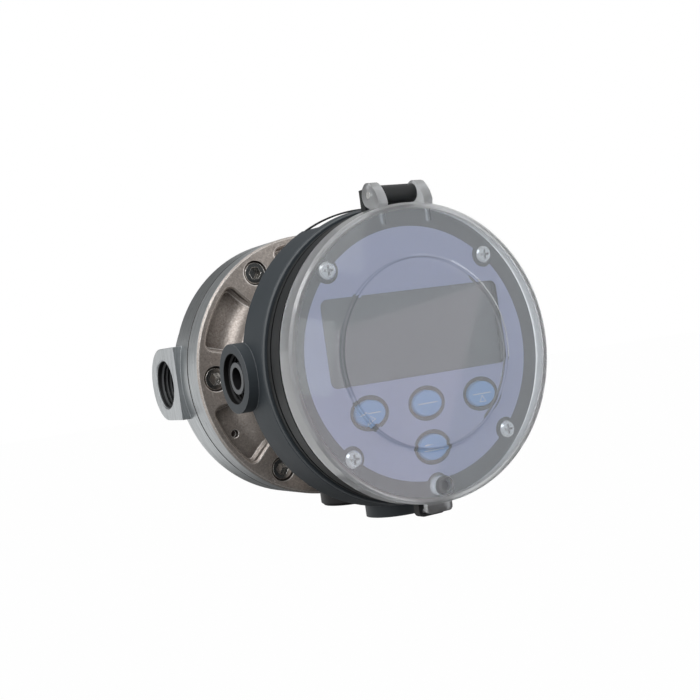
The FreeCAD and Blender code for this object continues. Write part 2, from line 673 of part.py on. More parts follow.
def ring_spots(radius, first, count):
    """Evenly spaced positions on a circle about the meter's axis."""
    spots = []
    for i in range(count):
        a = math.radians(first + 360.0 * i / count)
        spots.append((radius * math.cos(a), radius * math.sin(a)))
    return spots


HOUSING_SCREWS = four_corners(HOUSING_SCREW_CIRCLE_R, HOUSING_SCREW_ANGLE)
SENSOR_SCREWS = ring_spots(SENSOR_STANDOFF_CIRCLE_R, 90, 3)
BEZEL_SCREWS = four_corners(BEZEL_SCREW_CIRCLE_R)
BOARD_FIXINGS = (
    (BOARD_FIX_INSET - BOARD_R, BOARD_FIX_SIDE_Z),
    (BOARD_R - BOARD_FIX_INSET, BOARD_FIX_SIDE_Z),
    (0.0, BOARD_R - BOARD_FIX_TOP_INSET),
    (0.0, BOARD_FIX_INSET - BOARD_R),
)
KEYS = {
    "left_key": (-KEY_PITCH_X, KEY_ROW_Z),
    "centre_key": (0.0, KEY_ROW_Z),
    "right_key": (KEY_PITCH_X, KEY_ROW_Z),
    "lower_key": (0.0, LOWER_KEY_Z),
}


def make_meter():
    """The wetted body with its rotors, shafts, seal and screws."""
    save("meter_base", make_base())
    save("meter_cap", make_cap())
    screw = socket_screw(BOLT_SEAT_Y, JOINT_Y - BOLT_SEAT_Y + BOLT_IN_BASE, BOLT_CIRCLE_R, 0)
    save("cap_screws", Part.makeCompound(around(screw, BOLT_ANGLES)))
    save("body_seal", tube_y(SEAL_R + SEAL_W / 2, SEAL_R - SEAL_W / 2, JOINT_Y, JOINT_Y + SEAL_DEPTH))
    ends = (JOINT_Y - DOWEL_IN_CAP, JOINT_Y + DOWEL_IN_BASE)
    save("dowel_pins", Part.makeCompound([rod_y(DOWEL_R, ends[0], ends[1], x, z) for x, z in DOWEL_SPOTS]))
    for name, z in ROTOR_CENTRES.items():
        gear, bush, magnets = make_rotor(name == "lower", name == "upper")
        place = V(0, 0, z)
        for piece in [gear, bush] + magnets:
            piece.translate(place)
        save(f"{name}_oval_gear", gear)
        save(f"{name}_gear_bush", bush)
        if magnets:
            save("gear_magnets", Part.makeCompound(magnets))
        ends = (JOINT_Y - SHAFT_IN_CAP, CHAMBER_FLOOR_Y + SHAFT_IN_BASE)
        save(f"{name}_gear_shaft", rod_y(SHAFT_R, ends[0], ends[1], 0, z))


def make_hub_parts():
    """Sensor board in the hub, the plug of its conduit boss and the gasket on its rim."""
    rear = SENSOR_BOARD_Y + SENSOR_BOARD_T
    board = rod_y(SENSOR_BOARD_R, SENSOR_BOARD_Y, rear)
    for x, z in SENSOR_SCREWS:
        board = board.cut(rod_y(SENSOR_SCREW_R + HOLE_GAP, SENSOR_BOARD_Y - OVER, rear + OVER, x, z))
    wide, thick, tall = SENSOR_CHIP
    for side in (-1, 1):
        x = side * MAGNET_OFFSET
        chip = block((x - wide / 2, x + wide / 2), (rear, rear + thick), (-tall / 2, tall / 2))
        board = board.fuse(chip)
    save("pulse_sensor_board", board)
    reach = SENSOR_BOARD_T + SENSOR_STANDOFF_H
    screws = [pan_screw(SENSOR_SCREW_R, SENSOR_BOARD_Y, reach, x, z) for x, z in SENSOR_SCREWS]
    save("sensor_board_screws", Part.makeCompound(screws))
    z_seat = -CONDUIT_BOSS_REACH
    plug = rod_z(PLUG_HEAD_R, z_seat - PLUG_HEAD_T, z_seat, 0, CONDUIT_Y)
    rim = [e for e in plug.Edges if abs(e.CenterOfMass.z - z_seat + PLUG_HEAD_T) < 1e-4 and e.Closed]
    plug = plug.makeChamfer(PLUG_EDGE, rim)
    plug = plug.fuse(rod_z(CONDUIT_BORE_R - THREAD_GAP, z_seat, z_seat + PLUG_THREAD_LENGTH, 0, CONDUIT_Y))
    slot_z = (z_seat - PLUG_HEAD_T - OVER, z_seat - PLUG_HEAD_T + PLUG_SLOT_DEPTH)
    slot_x = (-PLUG_HEAD_R * 0.7, PLUG_HEAD_R * 0.7)
    slot_y = (CONDUIT_Y - PLUG_SLOT_W / 2, CONDUIT_Y + PLUG_SLOT_W / 2)
    save("conduit_plug", plug.cut(block(slot_x, slot_y, slot_z)))
    gasket = tube_y(HUB_R, HUB_CHAMBER_R, HOUSING_REAR_Y, HUB_Y)
    for x, z in HOUSING_SCREWS:
        gasket = gasket.cut(rod_y(HOUSING_SCREW_R + HOLE_GAP, HOUSING_REAR_Y - OVER, HUB_Y + OVER, x, z))
    save("hub_gasket", gasket)


def entry_shapes():
    """Left and bottom cable entries as (direction, centre of the mouth)."""
    left = (V(-1, 0, 0), V(-ENTRY_REACH, ENTRY_Y, 0))
    bottom = (V(0, 0, -1), V(0, ENTRY_Y, -ENTRY_REACH))
    return {"left": left, "bottom": bottom}


def make_housing():
    """Moulded display housing: drafted band, tapered tail, cable entries and screw pillars."""
    band_y = HOUSING_FRONT_Y + HOUSING_BAND
    outer = turned([(0, HOUSING_FRONT_Y), (HOUSING_LIP_R - HOUSING_LIP_BREAK, HOUSING_FRONT_Y),
                    (HOUSING_LIP_R, HOUSING_FRONT_Y + HOUSING_LIP_BREAK), (HOUSING_R, band_y),
                    (HOUSING_TAIL_R, HOUSING_REAR_Y), (0, HOUSING_REAR_Y)])
    inner = turned([(0, HOUSING_FRONT_Y - OVER), (HOUSING_LIP_R - HOUSING_WALL, HOUSING_FRONT_Y - OVER),
                    (HOUSING_LIP_R - HOUSING_WALL, HOUSING_FRONT_Y), (HOUSING_R - HOUSING_WALL, band_y),
                    (HOUSING_TAIL_R - HOUSING_WALL, HOUSING_FLOOR_Y), (0, HOUSING_FLOOR_Y)])
    flat_y = SPIGOT_REAR_Y + SPIGOT_GAP + HOUSING_WALL
    wide = HOUSING_R + OVER
    above = block((-wide, wide), (flat_y, HOUSING_REAR_Y + OVER), (TOP_FLAT_Z, wide))
    above_inside = block((-wide, wide), (flat_y - HOUSING_WALL, HOUSING_REAR_Y + OVER),
                         (TOP_FLAT_Z - HOUSING_WALL, wide))
    inner = inner.cut(above_inside)
    shell = outer.cut(above)
    solids = []
    for direction, mouth in entry_shapes().values():
        into_shell = ENTRY_REACH - HOUSING_TAIL_R + HOUSING_WALL
        solids.append(Part.makeCylinder(ENTRY_BOSS_R, into_shell, mouth, -direction))
    walls = shell.fuse(solids).cut(inner)
    inside = []
    for direction, mouth in entry_shapes().values():
        inside.append(Part.makeCylinder(ENTRY_BOSS_R, ENTRY_LENGTH, mouth, -direction))
    for x, z in BEZEL_SCREWS:
        inside.append(rod_y(PILLAR_R, SPIGOT_REAR_Y, HOUSING_REAR_Y, x, z).common(outer))
    housing = walls.fuse(inside)
    for direction, mouth in entry_shapes().values():
        start = mouth + direction * OVER
        housing = housing.cut(Part.makeCylinder(ENTRY_BORE_R, ENTRY_LENGTH + 2 * OVER, start, -direction))
    for x, z in BEZEL_SCREWS:
        end_y = BEZEL_FRONT_Y + BEZEL_SCREW_LENGTH + OVER
        housing = housing.cut(rod_y(BEZEL_SCREW_R + THREAD_GAP, SPIGOT_REAR_Y - OVER, end_y, x, z))
    floor = (HOUSING_FLOOR_Y - OVER, HOUSING_REAR_Y + OVER)
    for x, z in HOUSING_SCREWS:
        housing = housing.cut(rod_y(HOUSING_SCREW_R + HOLE_GAP, floor[0], floor[1], x, z))
    housing = housing.cut(rod_y(WIRE_HOLE_R, floor[0], floor[1], 0, WIRE_HOLE_Z))
    return housing.removeSplitter()


def make_hoop():
    """Thin strap that bridges the flat on top of the housing."""
    y_front = HOUSING_FRONT_Y + HOOP_SETBACK
    shell_r = HOUSING_LIP_R + HOUSING_DRAFT * HOOP_SETBACK / HOUSING_BAND
    half = math.sqrt(shell_r ** 2 - TOP_FLAT_Z ** 2) + HOOP_FOOT_OVERHANG
    radius = (half ** 2 + HOOP_RISE ** 2) / (2 * HOOP_RISE)
    top = TOP_FLAT_Z + HOOP_RISE
    ring = tube_y(radius, radius - HOOP_T, y_front, y_front + HOOP_W, 0, top - radius)
    above = block((-radius, radius), (y_front - OVER, y_front + HOOP_W + OVER), (TOP_FLAT_Z, top + OVER))
    return ring.common(above)


def make_gland(direction, mouth):
    """Threaded cable gland insert with its nozzle set back inside the entry."""
    back = Part.makeCylinder(ENTRY_BORE_R - THREAD_GAP, ENTRY_LENGTH - GLAND_THREAD_SINK,
                             mouth - direction * GLAND_THREAD_SINK, -direction)
    nozzle = Part.makeCylinder(GLAND_TUBE_R, ENTRY_LENGTH - GLAND_INSET,
                               mouth - direction * GLAND_INSET, -direction)
    hole = Part.makeCylinder(GLAND_HOLE_R, ENTRY_LENGTH + OVER, mouth, -direction)
    return back.fuse(nozzle).removeSplitter().cut(hole)


def make_housing_parts():
    """Housing with its hoop, glands, fixing screws and battery."""
    save("display_housing", make_housing())
    save("top_hoop", make_hoop())
    for name, (direction, mouth) in entry_shapes().items():
        save(f"{name}_cable_gland", make_gland(direction, mouth))
    reach = HOUSING_FLOOR_T + HUB_GASKET_T + HOUSING_SCREW_IN_HUB
    screws = [pan_screw(HOUSING_SCREW_R, HOUSING_FLOOR_Y, reach, x, z) for x, z in HOUSING_SCREWS]
    save("housing_screws", Part.makeCompound(screws))
    cell_y = HOUSING_FLOOR_Y - HOLDER_WALL - CELL_R
    half_l = CELL_LENGTH / 2
    cells = [rod_x(CELL_R, -half_l, half_l, cell_y, side * CELL_PITCH / 2) for side in (-1, 1)]
    save("battery_cells", Part.makeCompound(cells))
    half_x = half_l + HOLDER_GAP + HOLDER_WALL
    half_z = CELL_PITCH / 2 + CELL_R + HOLDER_GAP + HOLDER_WALL
    holder = block((-half_x, half_x), (cell_y, HOUSING_FLOOR_Y), (-half_z, half_z))
    for side in (-1, 1):
        z = side * CELL_PITCH / 2
        well = rod_x(CELL_R, -half_l - HOLDER_GAP, half_l + HOLDER_GAP, cell_y, z)
        holder = holder.cut(well)
    save("battery_holder", holder)


def make_bezel():
    """Black front frame: stepped rim, face plate, hinge knuckle and catch."""
    spigot_in = SPIGOT_R - BEZEL_SPIGOT_WALL
    groove_y = BEZEL_REAR_Y - BEZEL_GROOVE_FROM_REAR
    groove_r = BEZEL_R - BEZEL_GROOVE_DEPTH
    bezel = turned([(0, BEZEL_FRONT_Y), (BEZEL_STEP_R, BEZEL_FRONT_Y), (BEZEL_STEP_R, RIM_Y),
                    (BEZEL_R, RIM_Y), (BEZEL_R, groove_y - BEZEL_GROOVE_W),
                    (groove_r, groove_y - BEZEL_GROOVE_W), (groove_r, groove_y),
                    (BEZEL_R, groove_y), (BEZEL_R, BEZEL_REAR_Y),
                    (SPIGOT_R, BEZEL_REAR_Y), (SPIGOT_R, SPIGOT_REAR_Y),
                    (spigot_in, SPIGOT_REAR_Y), (spigot_in, PLATE_REAR_Y), (0, PLATE_REAR_Y)])
    posts = [rod_y(SCREW_TUBE_R, PLATE_REAR_Y, SPIGOT_REAR_Y, x, z) for x, z in BEZEL_SCREWS]
    posts += [rod_y(BOARD_BOSS_R, PLATE_REAR_Y, BOARD_Y, x, z) for x, z in BOARD_FIXINGS]
    half = HINGE_BARREL_HALF
    barrel = rod_x(HINGE_BARREL_R, -half, half, HINGE_Y, HINGE_Z)
    rim_in = BEZEL_R - BEZEL_SPIGOT_WALL
    spine_y = HINGE_Y + HINGE_LUG_R + HINGE_BLOCK_GAP
    web = block((-half, half), (max(RIM_Y, HINGE_Y), spine_y), (rim_in, HINGE_Z + HINGE_BARREL_R / 2))
    spine = block((-HINGE_BLOCK_HALF, HINGE_BLOCK_HALF), (spine_y, spine_y + HINGE_BLOCK_T),
                  (rim_in, HINGE_BLOCK_TOP))
    catch = block((-CATCH_HALF, CATCH_HALF), (CATCH_Y, CATCH_Y + CATCH_LENGTH), (-CATCH_BOTTOM, -rim_in))
    catch = round_below(catch, CATCH_ROUND)
    bezel = bezel.fuse(posts + [barrel, web, spine, catch]).removeSplitter()
    slot_z = (-TONGUE_BOTTOM - TONGUE_GAP, -TONGUE_BOTTOM + TONGUE_T + TONGUE_GAP)
    slot_half = TONGUE_NOSE_HALF + TONGUE_GAP
    bezel = bezel.cut(block((-slot_half, slot_half), (CATCH_Y - OVER, CATCH_Y + CATCH_SLOT_DEPTH), slot_z))
    pane = rounded_plate(WINDOW_W + 2 * PANE_LEDGE, WINDOW_H + 2 * PANE_LEDGE, WINDOW_CORNER,
                         PLATE_REAR_Y - PANE_T, PLATE_REAR_Y + OVER, WINDOW_Z)
    opening = rounded_plate(WINDOW_W, WINDOW_H, WINDOW_CORNER, BEZEL_FRONT_Y - OVER, PLATE_REAR_Y, WINDOW_Z)
    bezel = bezel.cut(opening).cut(pane)
    for x, z in KEYS.values():
        wide = KEY_HALF_W + KEY_GAP
        tall = KEY_HALF_H + KEY_GAP
        bezel = bezel.cut(oval(wide, tall, BEZEL_FRONT_Y - OVER, PLATE_REAR_Y + OVER, x, z))
    for x, z in BEZEL_SCREWS:
        bezel = bezel.cut(rod_y(BEZEL_SCREW_R + HOLE_GAP, BEZEL_FRONT_Y - OVER, SPIGOT_REAR_Y + OVER, x, z))
    for x, z in BOARD_FIXINGS:
        end_y = BOARD_Y - BOARD_SCREW_IN_BOSS
        bezel = bezel.cut(rod_y(BOARD_SCREW_R + THREAD_GAP, end_y, BOARD_Y + OVER, x, z))
    return bezel.cut(rod_x(HINGE_PIN_R, -half - OVER, half + OVER, HINGE_Y, HINGE_Z))


def make_label():
    """Printed face label with the window, key, screw and post cut-outs."""
    label = rod_y(LABEL_R, LABEL_Y, BEZEL_FRONT_Y)
    before = LABEL_Y - OVER
    behind = BEZEL_FRONT_Y + OVER
    label = label.cut(rounded_plate(WINDOW_W, WINDOW_H, WINDOW_CORNER, before, behind, WINDOW_Z))
    margin = KEY_GAP + KEY_RING
    for x, z in KEYS.values():
        label = label.cut(oval(KEY_HALF_W + margin, KEY_HALF_H + margin, before, behind, x, z))
    for x, z in BEZEL_SCREWS + [(0.0, LID_POST_Z)]:
        label = label.cut(rod_y(LABEL_NOTCH_R, before, behind, x, z))
    return label


def make_key(x, z):
    """Oval push key: domed cap, keeper flange behind the plate and switch stem."""
    top = LABEL_Y - KEY_PROUD
    cap = oval(KEY_HALF_W, KEY_HALF_H, top, PLATE_REAR_Y, x, z)
    front = [e for e in cap.Edges if abs(e.CenterOfMass.y - top) < 1e-4]
    cap = cap.makeChamfer(KEY_EDGE, front)
    flange_y = PLATE_REAR_Y + KEY_FLANGE_T
    wide = KEY_GAP + KEY_FLANGE
    flange = oval(KEY_HALF_W + wide, KEY_HALF_H + wide, PLATE_REAR_Y, flange_y, x, z)
    return cap.fuse([flange, rod_y(KEY_STEM_R, flange_y, flange_y + KEY_STEM, x, z)])


def make_face_parts():
    """Everything that the bezel carries."""
    save("bezel", make_bezel())
    gasket_r = SPIGOT_R + SPIGOT_GAP / 3
    save("bezel_gasket", tube_y(gasket_r + BEZEL_GASKET_W, gasket_r, BEZEL_REAR_Y, HOUSING_FRONT_Y))
    screws = []
    for x, z in BEZEL_SCREWS:
        screws.append(pan_screw(BEZEL_SCREW_R, BEZEL_FRONT_Y, BEZEL_SCREW_LENGTH, x, z,
                                BEZEL_SCREW_HEAD_R, BEZEL_SCREW_HEAD_H))
    save("bezel_screws", Part.makeCompound(screws))
    save("face_label", make_label())
    reach = 2 * (PANE_LEDGE - PANE_GAP)
    pane_y = PLATE_REAR_Y - PANE_T
    pane = rounded_plate(WINDOW_W + reach, WINDOW_H + reach, WINDOW_CORNER, pane_y, PLATE_REAR_Y, WINDOW_Z)
    save("window_pane", pane)
    for name, (x, z) in KEYS.items():
        save(name, make_key(x, z))
    board = rod_y(BOARD_R, BOARD_Y, BOARD_Y + BOARD_T)
    for x, z in BEZEL_SCREWS:
        board = board.cut(rod_y(SCREW_TUBE_R + OVER, BOARD_Y - OVER, BOARD_Y + BOARD_T + OVER, x, z))
    for x, z in BOARD_FIXINGS:
        board = board.cut(rod_y(BOARD_SCREW_R + HOLE_GAP, BOARD_Y - OVER, BOARD_Y + BOARD_T + OVER, x, z))
    save("display_board", board)
    rear = BOARD_Y + BOARD_T
    fixings = []
    for x, z in BOARD_FIXINGS:
        fixing = pan_screw(BOARD_SCREW_R, 0, BOARD_T + BOARD_SCREW_IN_BOSS, 0, 0)
        fixing.rotate(ORIGIN, Z_AXIS, 180)
        fixing.translate(V(x, rear, z))
        fixings.append(fixing)
    save("board_screws", Part.makeCompound(fixings))
    lcd_y = BOARD_Y - LCD_T
    half_x = LCD_W / 2
    half_z = LCD_H / 2
    lcd = block((-half_x, half_x), (lcd_y, BOARD_Y), (WINDOW_Z - half_z, WINDOW_Z + half_z))
    half_x -= LCD_FRAME
    half_z -= LCD_FRAME
    sink = (lcd_y - OVER, lcd_y + LCD_GLASS_SINK)
    save("lcd_module", lcd.cut(block((-half_x, half_x), sink, (WINDOW_Z - half_z, WINDOW_Z + half_z))))
    top = PLATE_REAR_Y + KEY_FLANGE_T + KEY_STEM + KEY_TRAVEL + KEY_STOP_GAP
    half = SWITCH_HALF
    switches = []
    for x, z in KEYS.values():
        body = block((x - half, x + half), (top + half / 2, BOARD_Y), (z - half, z + half))
        switches.append(body.fuse(rod_y(KEY_STEM_R, top, top + half / 2, x, z)))
    save("key_switches", Part.makeCompound(switches))
    wide, deep, tall = TERMINAL_SIZE
    strip = block((-wide / 2, wide / 2), (rear, rear + deep), (TERMINAL_Z - tall / 2, TERMINAL_Z + tall / 2))
    pitch = wide / TERMINAL_WAYS
    for i in range(TERMINAL_WAYS):
        x = -wide / 2 + pitch * (i + 0.5)
        strip = strip.cut(rod_y(pitch * 0.32, rear + deep / 2, rear + deep + OVER, x, TERMINAL_Z))
    save("terminal_block", strip)


def lid_lug(x_low):
    """One hinge ear of the lid, a rounded plate that leans forward into the face."""
    eye = rod_x(HINGE_LUG_R, x_low, x_low + HINGE_LUG_T, HINGE_Y, HINGE_Z)
    face_y = LABEL_Y - LID_FACE_Y
    foot_z = LID_R - LID_SKIRT_T
    rear_foot = V(x_low, face_y + LID_SKIRT - LUG_FOOT_SETBACK, foot_z)

    def on_eye(angle):
        turn = math.radians(angle)
        return V(x_low, HINGE_Y + HINGE_LUG_R * math.cos(turn), HINGE_Z + HINGE_LUG_R * math.sin(turn))

    front_foot = V(x_low, face_y + LUG_FOOT_SETBACK, LID_R)
    brow = on_eye(LUG_BROW_ANGLE)
    outward = (brow - front_foot).cross(X_AXIS).normalize()
    middle = (brow + front_foot) * 0.5 - outward * LUG_BROW_BULGE
    inner_foot = V(x_low, face_y + LID_EDGE_ROUND, foot_z)
    corners = [brow, on_eye(LUG_CHIN_ANGLE), rear_foot, inner_foot, front_foot]
    outline = [Part.makeLine(a, b) for a, b in zip(corners, corners[1:])]
    outline.append(Part.Arc(front_foot, middle, brow).toShape())
    cheek = Part.Face(Part.Wire(outline)).extrude(V(HINGE_LUG_T, 0, 0))
    return eye.fuse(cheek)


def make_lid():
    """Clear lid: shallow dish with a raised centre, hinge ears, ribs, post and catch tongue."""
    face_y = LABEL_Y - LID_FACE_Y
    rear_y = face_y + LID_SKIRT
    inside_y = face_y + LID_FACE_T
    proud_y = face_y - LID_DISC_PROUD
    front_r = LID_R - LID_DRAFT
    inner_r = LID_R - LID_SKIRT_T
    disc_in = LID_DISC_R - LID_DISC_PROUD
    lid = turned([(0, proud_y), (LID_DISC_R - LID_DISC_DRAFT, proud_y), (LID_DISC_R, face_y),
                  (front_r - LID_EDGE_ROUND, face_y), (front_r, face_y + LID_EDGE_ROUND), (LID_R, rear_y),
                  (inner_r, rear_y), (inner_r - LID_DRAFT, inside_y), (disc_in, inside_y),
                  (disc_in - LID_DISC_DRAFT, proud_y + LID_FACE_T), (0, proud_y + LID_FACE_T)])
    lug_at = HINGE_BARREL_HALF + HINGE_SIDE_GAP
    lugs = [lid_lug(lug_at), lid_lug(-lug_at - HINGE_LUG_T)]
    root_y = face_y + LID_FACE_T / 2
    ribs = []
    for side in (-1, 1):
        x = side * (lug_at + HINGE_LUG_T / 2)
        rib_x = (x - LID_RIB_T / 2, x + LID_RIB_T / 2)
        rib_z = (inner_r - LID_RIB_DROP, inner_r - LID_RIB_T)
        ribs.append(block(rib_x, (root_y, inside_y + LID_RIB_H), rib_z))
    post_end = BEZEL_FRONT_Y - LID_POST_GAP
    post = rod_y(LID_POST_R, root_y, post_end, 0, LID_POST_Z)
    tab_y = (RIM_Y - TONGUE_GAP - TONGUE_TAB_T, RIM_Y - TONGUE_GAP)
    tab = block((-TONGUE_HALF, TONGUE_HALF), tab_y, (-TONGUE_BOTTOM, -LID_R + LID_SKIRT_T / 2))
    tab = round_below(tab, TONGUE_ROUND)
    nose = block((-TONGUE_NOSE_HALF, TONGUE_NOSE_HALF), (tab_y[0], CATCH_Y + TONGUE_ENGAGE),
                 (-TONGUE_BOTTOM, -TONGUE_BOTTOM + TONGUE_T))
    lid = lid.fuse(lugs + ribs + [post, tab, nose])
    lid = lid.cut(rod_y(LID_POST_HOLE_R, face_y - OVER, face_y + LID_POST_HOLE_DEPTH, 0, LID_POST_Z))
    reach = lug_at + HINGE_LUG_T + OVER
    lid = lid.cut(rod_x(HINGE_PIN_R + SHAFT_RUN_CLEARANCE, -reach, reach, HINGE_Y, HINGE_Z))
    return lid.removeSplitter()


def make_lid_parts():
    """Lid and the pin that it swings on."""
    save("lid", make_lid())
    reach = HINGE_BARREL_HALF + HINGE_SIDE_GAP + HINGE_LUG_T
    save("hinge_pin", rod_x(HINGE_PIN_R, -reach, reach, HINGE_Y, HINGE_Z))


make_meter()
make_hub_parts()
make_housing_parts()
make_face_parts()
make_lid_parts()
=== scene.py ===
import json
import math

import bpy
from mathutils import Matrix, Quaternion, Vector


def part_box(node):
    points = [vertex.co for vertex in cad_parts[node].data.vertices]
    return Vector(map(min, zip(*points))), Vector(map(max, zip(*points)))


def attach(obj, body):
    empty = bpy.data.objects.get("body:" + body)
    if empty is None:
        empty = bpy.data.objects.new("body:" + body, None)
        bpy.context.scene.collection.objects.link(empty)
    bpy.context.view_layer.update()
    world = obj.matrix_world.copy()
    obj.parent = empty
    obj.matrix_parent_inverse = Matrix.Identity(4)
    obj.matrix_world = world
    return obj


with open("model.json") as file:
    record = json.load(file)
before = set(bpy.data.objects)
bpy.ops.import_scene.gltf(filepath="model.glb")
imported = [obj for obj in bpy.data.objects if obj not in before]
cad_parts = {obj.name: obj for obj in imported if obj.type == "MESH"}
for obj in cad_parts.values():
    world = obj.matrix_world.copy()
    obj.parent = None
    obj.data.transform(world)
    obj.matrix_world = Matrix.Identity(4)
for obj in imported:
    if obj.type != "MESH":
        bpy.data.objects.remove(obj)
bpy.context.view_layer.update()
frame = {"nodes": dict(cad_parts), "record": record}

# Base casting: aluminium, turned on its flange and rear body, with a square boss cast on for each
# port. The machined skin keeps fine tool lines round the axis and a few nicks; its broken edges are
# painted paler, partly as wear and partly as a painted highlight.
MM = 0.001
MACHINED_LIGHT = (0.57, 0.595, 0.605, 1)
MACHINED_DARK = (0.27, 0.285, 0.295, 1)
MACHINED_ROUGH = (0.44, 0.28)
MACHINED_GRAINS = 1500.0
# painted highlight along the edges, partly also standing for wear
MACHINED_EDGE_HIGHLIGHT = (0.70, 0.73, 0.75, 1)
MACHINED_EDGE_R = 0.45 * MM
MACHINED_EDGE_STRENGTH = 2.0
NICK_DARK = (0.20, 0.22, 0.24, 1)
NICK_SCALE = 330.0
NICK_SHARE = 0.5
TOOL_LINES = 2600.0
TOOL_LINE_RELIEF = 0.3
TOOL_LINE_DEPTH = 0.05 * MM
STREAK_SCALE = (70.0, 1100.0, 70.0)
LINE_SHARE = 0.33
STREAK_SHARE = 0.45
CLOUD_SHARE = 0.22
SQUARE_TO_AXIS = 0.7
# painted shade: a dark line in the groove between base and cap, and dark tapped bores
JOINT_SHADE = (0.06, 0.06, 0.06, 1)
JOINT_HALF = 0.55 * MM
BORE_SHADE = (0.085, 0.088, 0.09, 1)
BORE_ROUGH = 0.5
BORE_MARGIN = 0.25 * MM
BORE_DEPTH = 25.0 * MM
mounts = {mount["name"]: mount for mount in frame["record"]["mounts"]}


def node(tree, kind, inputs=None, **options):
    """One shader node with its options, its own values and its links."""
    made = tree.nodes.new(kind)
    for key, value in options.items():
        setattr(made, key, value)
    for socket, value in (inputs or {}).items():
        if isinstance(value, bpy.types.NodeSocket):
            tree.links.new(value, made.inputs[socket])
        else:
            made.inputs[socket].default_value = value
    return made


def maths(tree, operation, first, second=0.0):
    """A sum, product or comparison of two values."""
    return node(tree, "ShaderNodeMath", {0: first, 1: second}, operation=operation).outputs[0]


def vector_maths(tree, operation, first, second=(0, 0, 0)):
    """A vector operation; lengths, distances and dot products give a number."""
    made = node(tree, "ShaderNodeVectorMath", {0: first, 1: second}, operation=operation)
    gives_number = operation in ("LENGTH", "DISTANCE", "DOT_PRODUCT")
    return made.outputs["Value" if gives_number else "Vector"]


def shares(tree, *parts):
    """A sum of values, each taken at its share."""
    total = 0.0
    for value, share in parts:
        total = maths(tree, "ADD", maths(tree, "MULTIPLY", value, share), total)
    return total


def spread(tree, value, low, high, out_low=0.0, out_high=1.0):
    """A value stretched from one range to another and held inside it."""
    ranges = {"From Min": low, "From Max": high, "To Min": out_low, "To Max": out_high}
    return node(tree, "ShaderNodeMapRange", {"Value": value, **ranges}).outputs["Result"]


def mix(tree, share, first, second):
    """Two colours blended by a mask."""
    made = node(tree, "ShaderNodeMix", {0: share, 6: first, 7: second}, data_type="RGBA")
    return made.outputs[2]


def mix_values(tree, share, first, second):
    """Two numbers blended by a mask."""
    return node(tree, "ShaderNodeMix", {0: share, 2: first, 3: second}).outputs[0]


def noise(tree, place, scale, detail=3.0, roughness=0.55):
    """Cloudy noise read at a place."""
    inputs = {"Vector": place, "Scale": scale, "Detail": detail, "Roughness": roughness}
    return node(tree, "ShaderNodeTexNoise", inputs).outputs["Fac"]


def stretched(tree, place, scale):
    """A place scaled by its own amount along each axis."""
    return node(tree, "ShaderNodeMapping", {"Vector": place, "Scale": scale}).outputs[0]


def bumped(tree, height, relief, depth, **under):
    """The normal of a height map, laid on another normal where one is given."""
    inputs = {"Strength": relief, "Distance": depth, "Height": height, **under}
    return node(tree, "ShaderNodeBump", inputs).outputs["Normal"]


def own_place(tree):
    """The piece's own coordinates, in metres."""
    return node(tree, "ShaderNodeTexCoord").outputs["Object"]


def own_normal(tree):
    """The piece's own surface direction."""
    return node(tree, "ShaderNodeTexCoord").outputs["Normal"]


def axes_of(tree, vector):
    """The X, Y and Z parts of a vector."""
    return node(tree, "ShaderNodeSeparateXYZ", {0: vector}).outputs


def off_axis(tree):
    """The piece's own coordinates without their run along the meter's axis, which is Y."""
    return vector_maths(tree, "MULTIPLY", own_place(tree), (1, 0, 1))


def new_group(name, inputs, outputs):
    """An empty shader group with named number inputs and typed outputs."""
    tree = bpy.data.node_groups.new(name, "ShaderNodeTree")
    for label, value in inputs.items():
        socket = tree.interface.new_socket(label, in_out="INPUT", socket_type="NodeSocketFloat")
        socket.default_value = value
    for label, kind in outputs.items():
        tree.interface.new_socket(label, in_out="OUTPUT", socket_type=kind)
    inside, outside = tree.nodes.new("NodeGroupInput"), tree.nodes.new("NodeGroupOutput")
    return tree, inside.outputs, outside.inputs


def place_group(tree, group, inputs):
    """A shader group placed in a material with its own values."""
    return node(tree, "ShaderNodeGroup", inputs, node_tree=group).outputs


def new_material(name, colour, roughness, metallic=0.0, **sockets):
    """A principled material; returns it with its node tree and shader inputs."""
    material = bpy.data.materials.new(name)
    material.use_nodes = True
    shader = material.node_tree.nodes["Principled BSDF"].inputs
    shader["Base Color"].default_value = colour
    shader["Roughness"].default_value = roughness
    shader["Metallic"].default_value = metallic
    for label, value in sockets.items():
        shader[label.replace("_", " ")].default_value = value
    return material, material.node_tree, shader


def dress(material, *names):
    """Puts a material on carried-over nodes."""
    for name in names:
        for place in frame["nodes"][name].material_slots:
            place.material = material


# broken edges: the rounded normal along sharp edges, and a patchy mask of them that the materials use
# to paint edges paler, partly as wear and partly as a painted highlight
PATCH_SCALE = 420.0
wear_and_highlight, wear_in, wear_out = new_group(
    "wear_and_highlight", {"Radius": 0.4 * MM, "Strength": 4.0},
    {"Normal": "NodeSocketVector", "Mask": "NodeSocketFloat"})
rounded = node(wear_and_highlight, "ShaderNodeBevel", {"Radius": wear_in["Radius"]}, samples=6)
rounded = rounded.outputs["Normal"]
flat = node(wear_and_highlight, "ShaderNodeNewGeometry").outputs["Normal"]
turn_away = maths(wear_and_highlight, "SUBTRACT", 1.0, vector_maths(wear_and_highlight, "DOT_PRODUCT", rounded, flat))
turn_away = maths(wear_and_highlight, "MULTIPLY", turn_away, wear_in["Strength"])
patchy = spread(wear_and_highlight, noise(wear_and_highlight, own_place(wear_and_highlight), PATCH_SCALE), 0.3, 0.62, 0.45, 1.0)
wear_and_glint = node(wear_and_highlight, "ShaderNodeMath", {0: turn_away, 1: patchy}, operation="MULTIPLY",
            use_clamp=True)
wear_and_highlight.links.new(rounded, wear_out["Normal"])
wear_and_highlight.links.new(wear_and_glint.outputs[0], wear_out["Mask"])

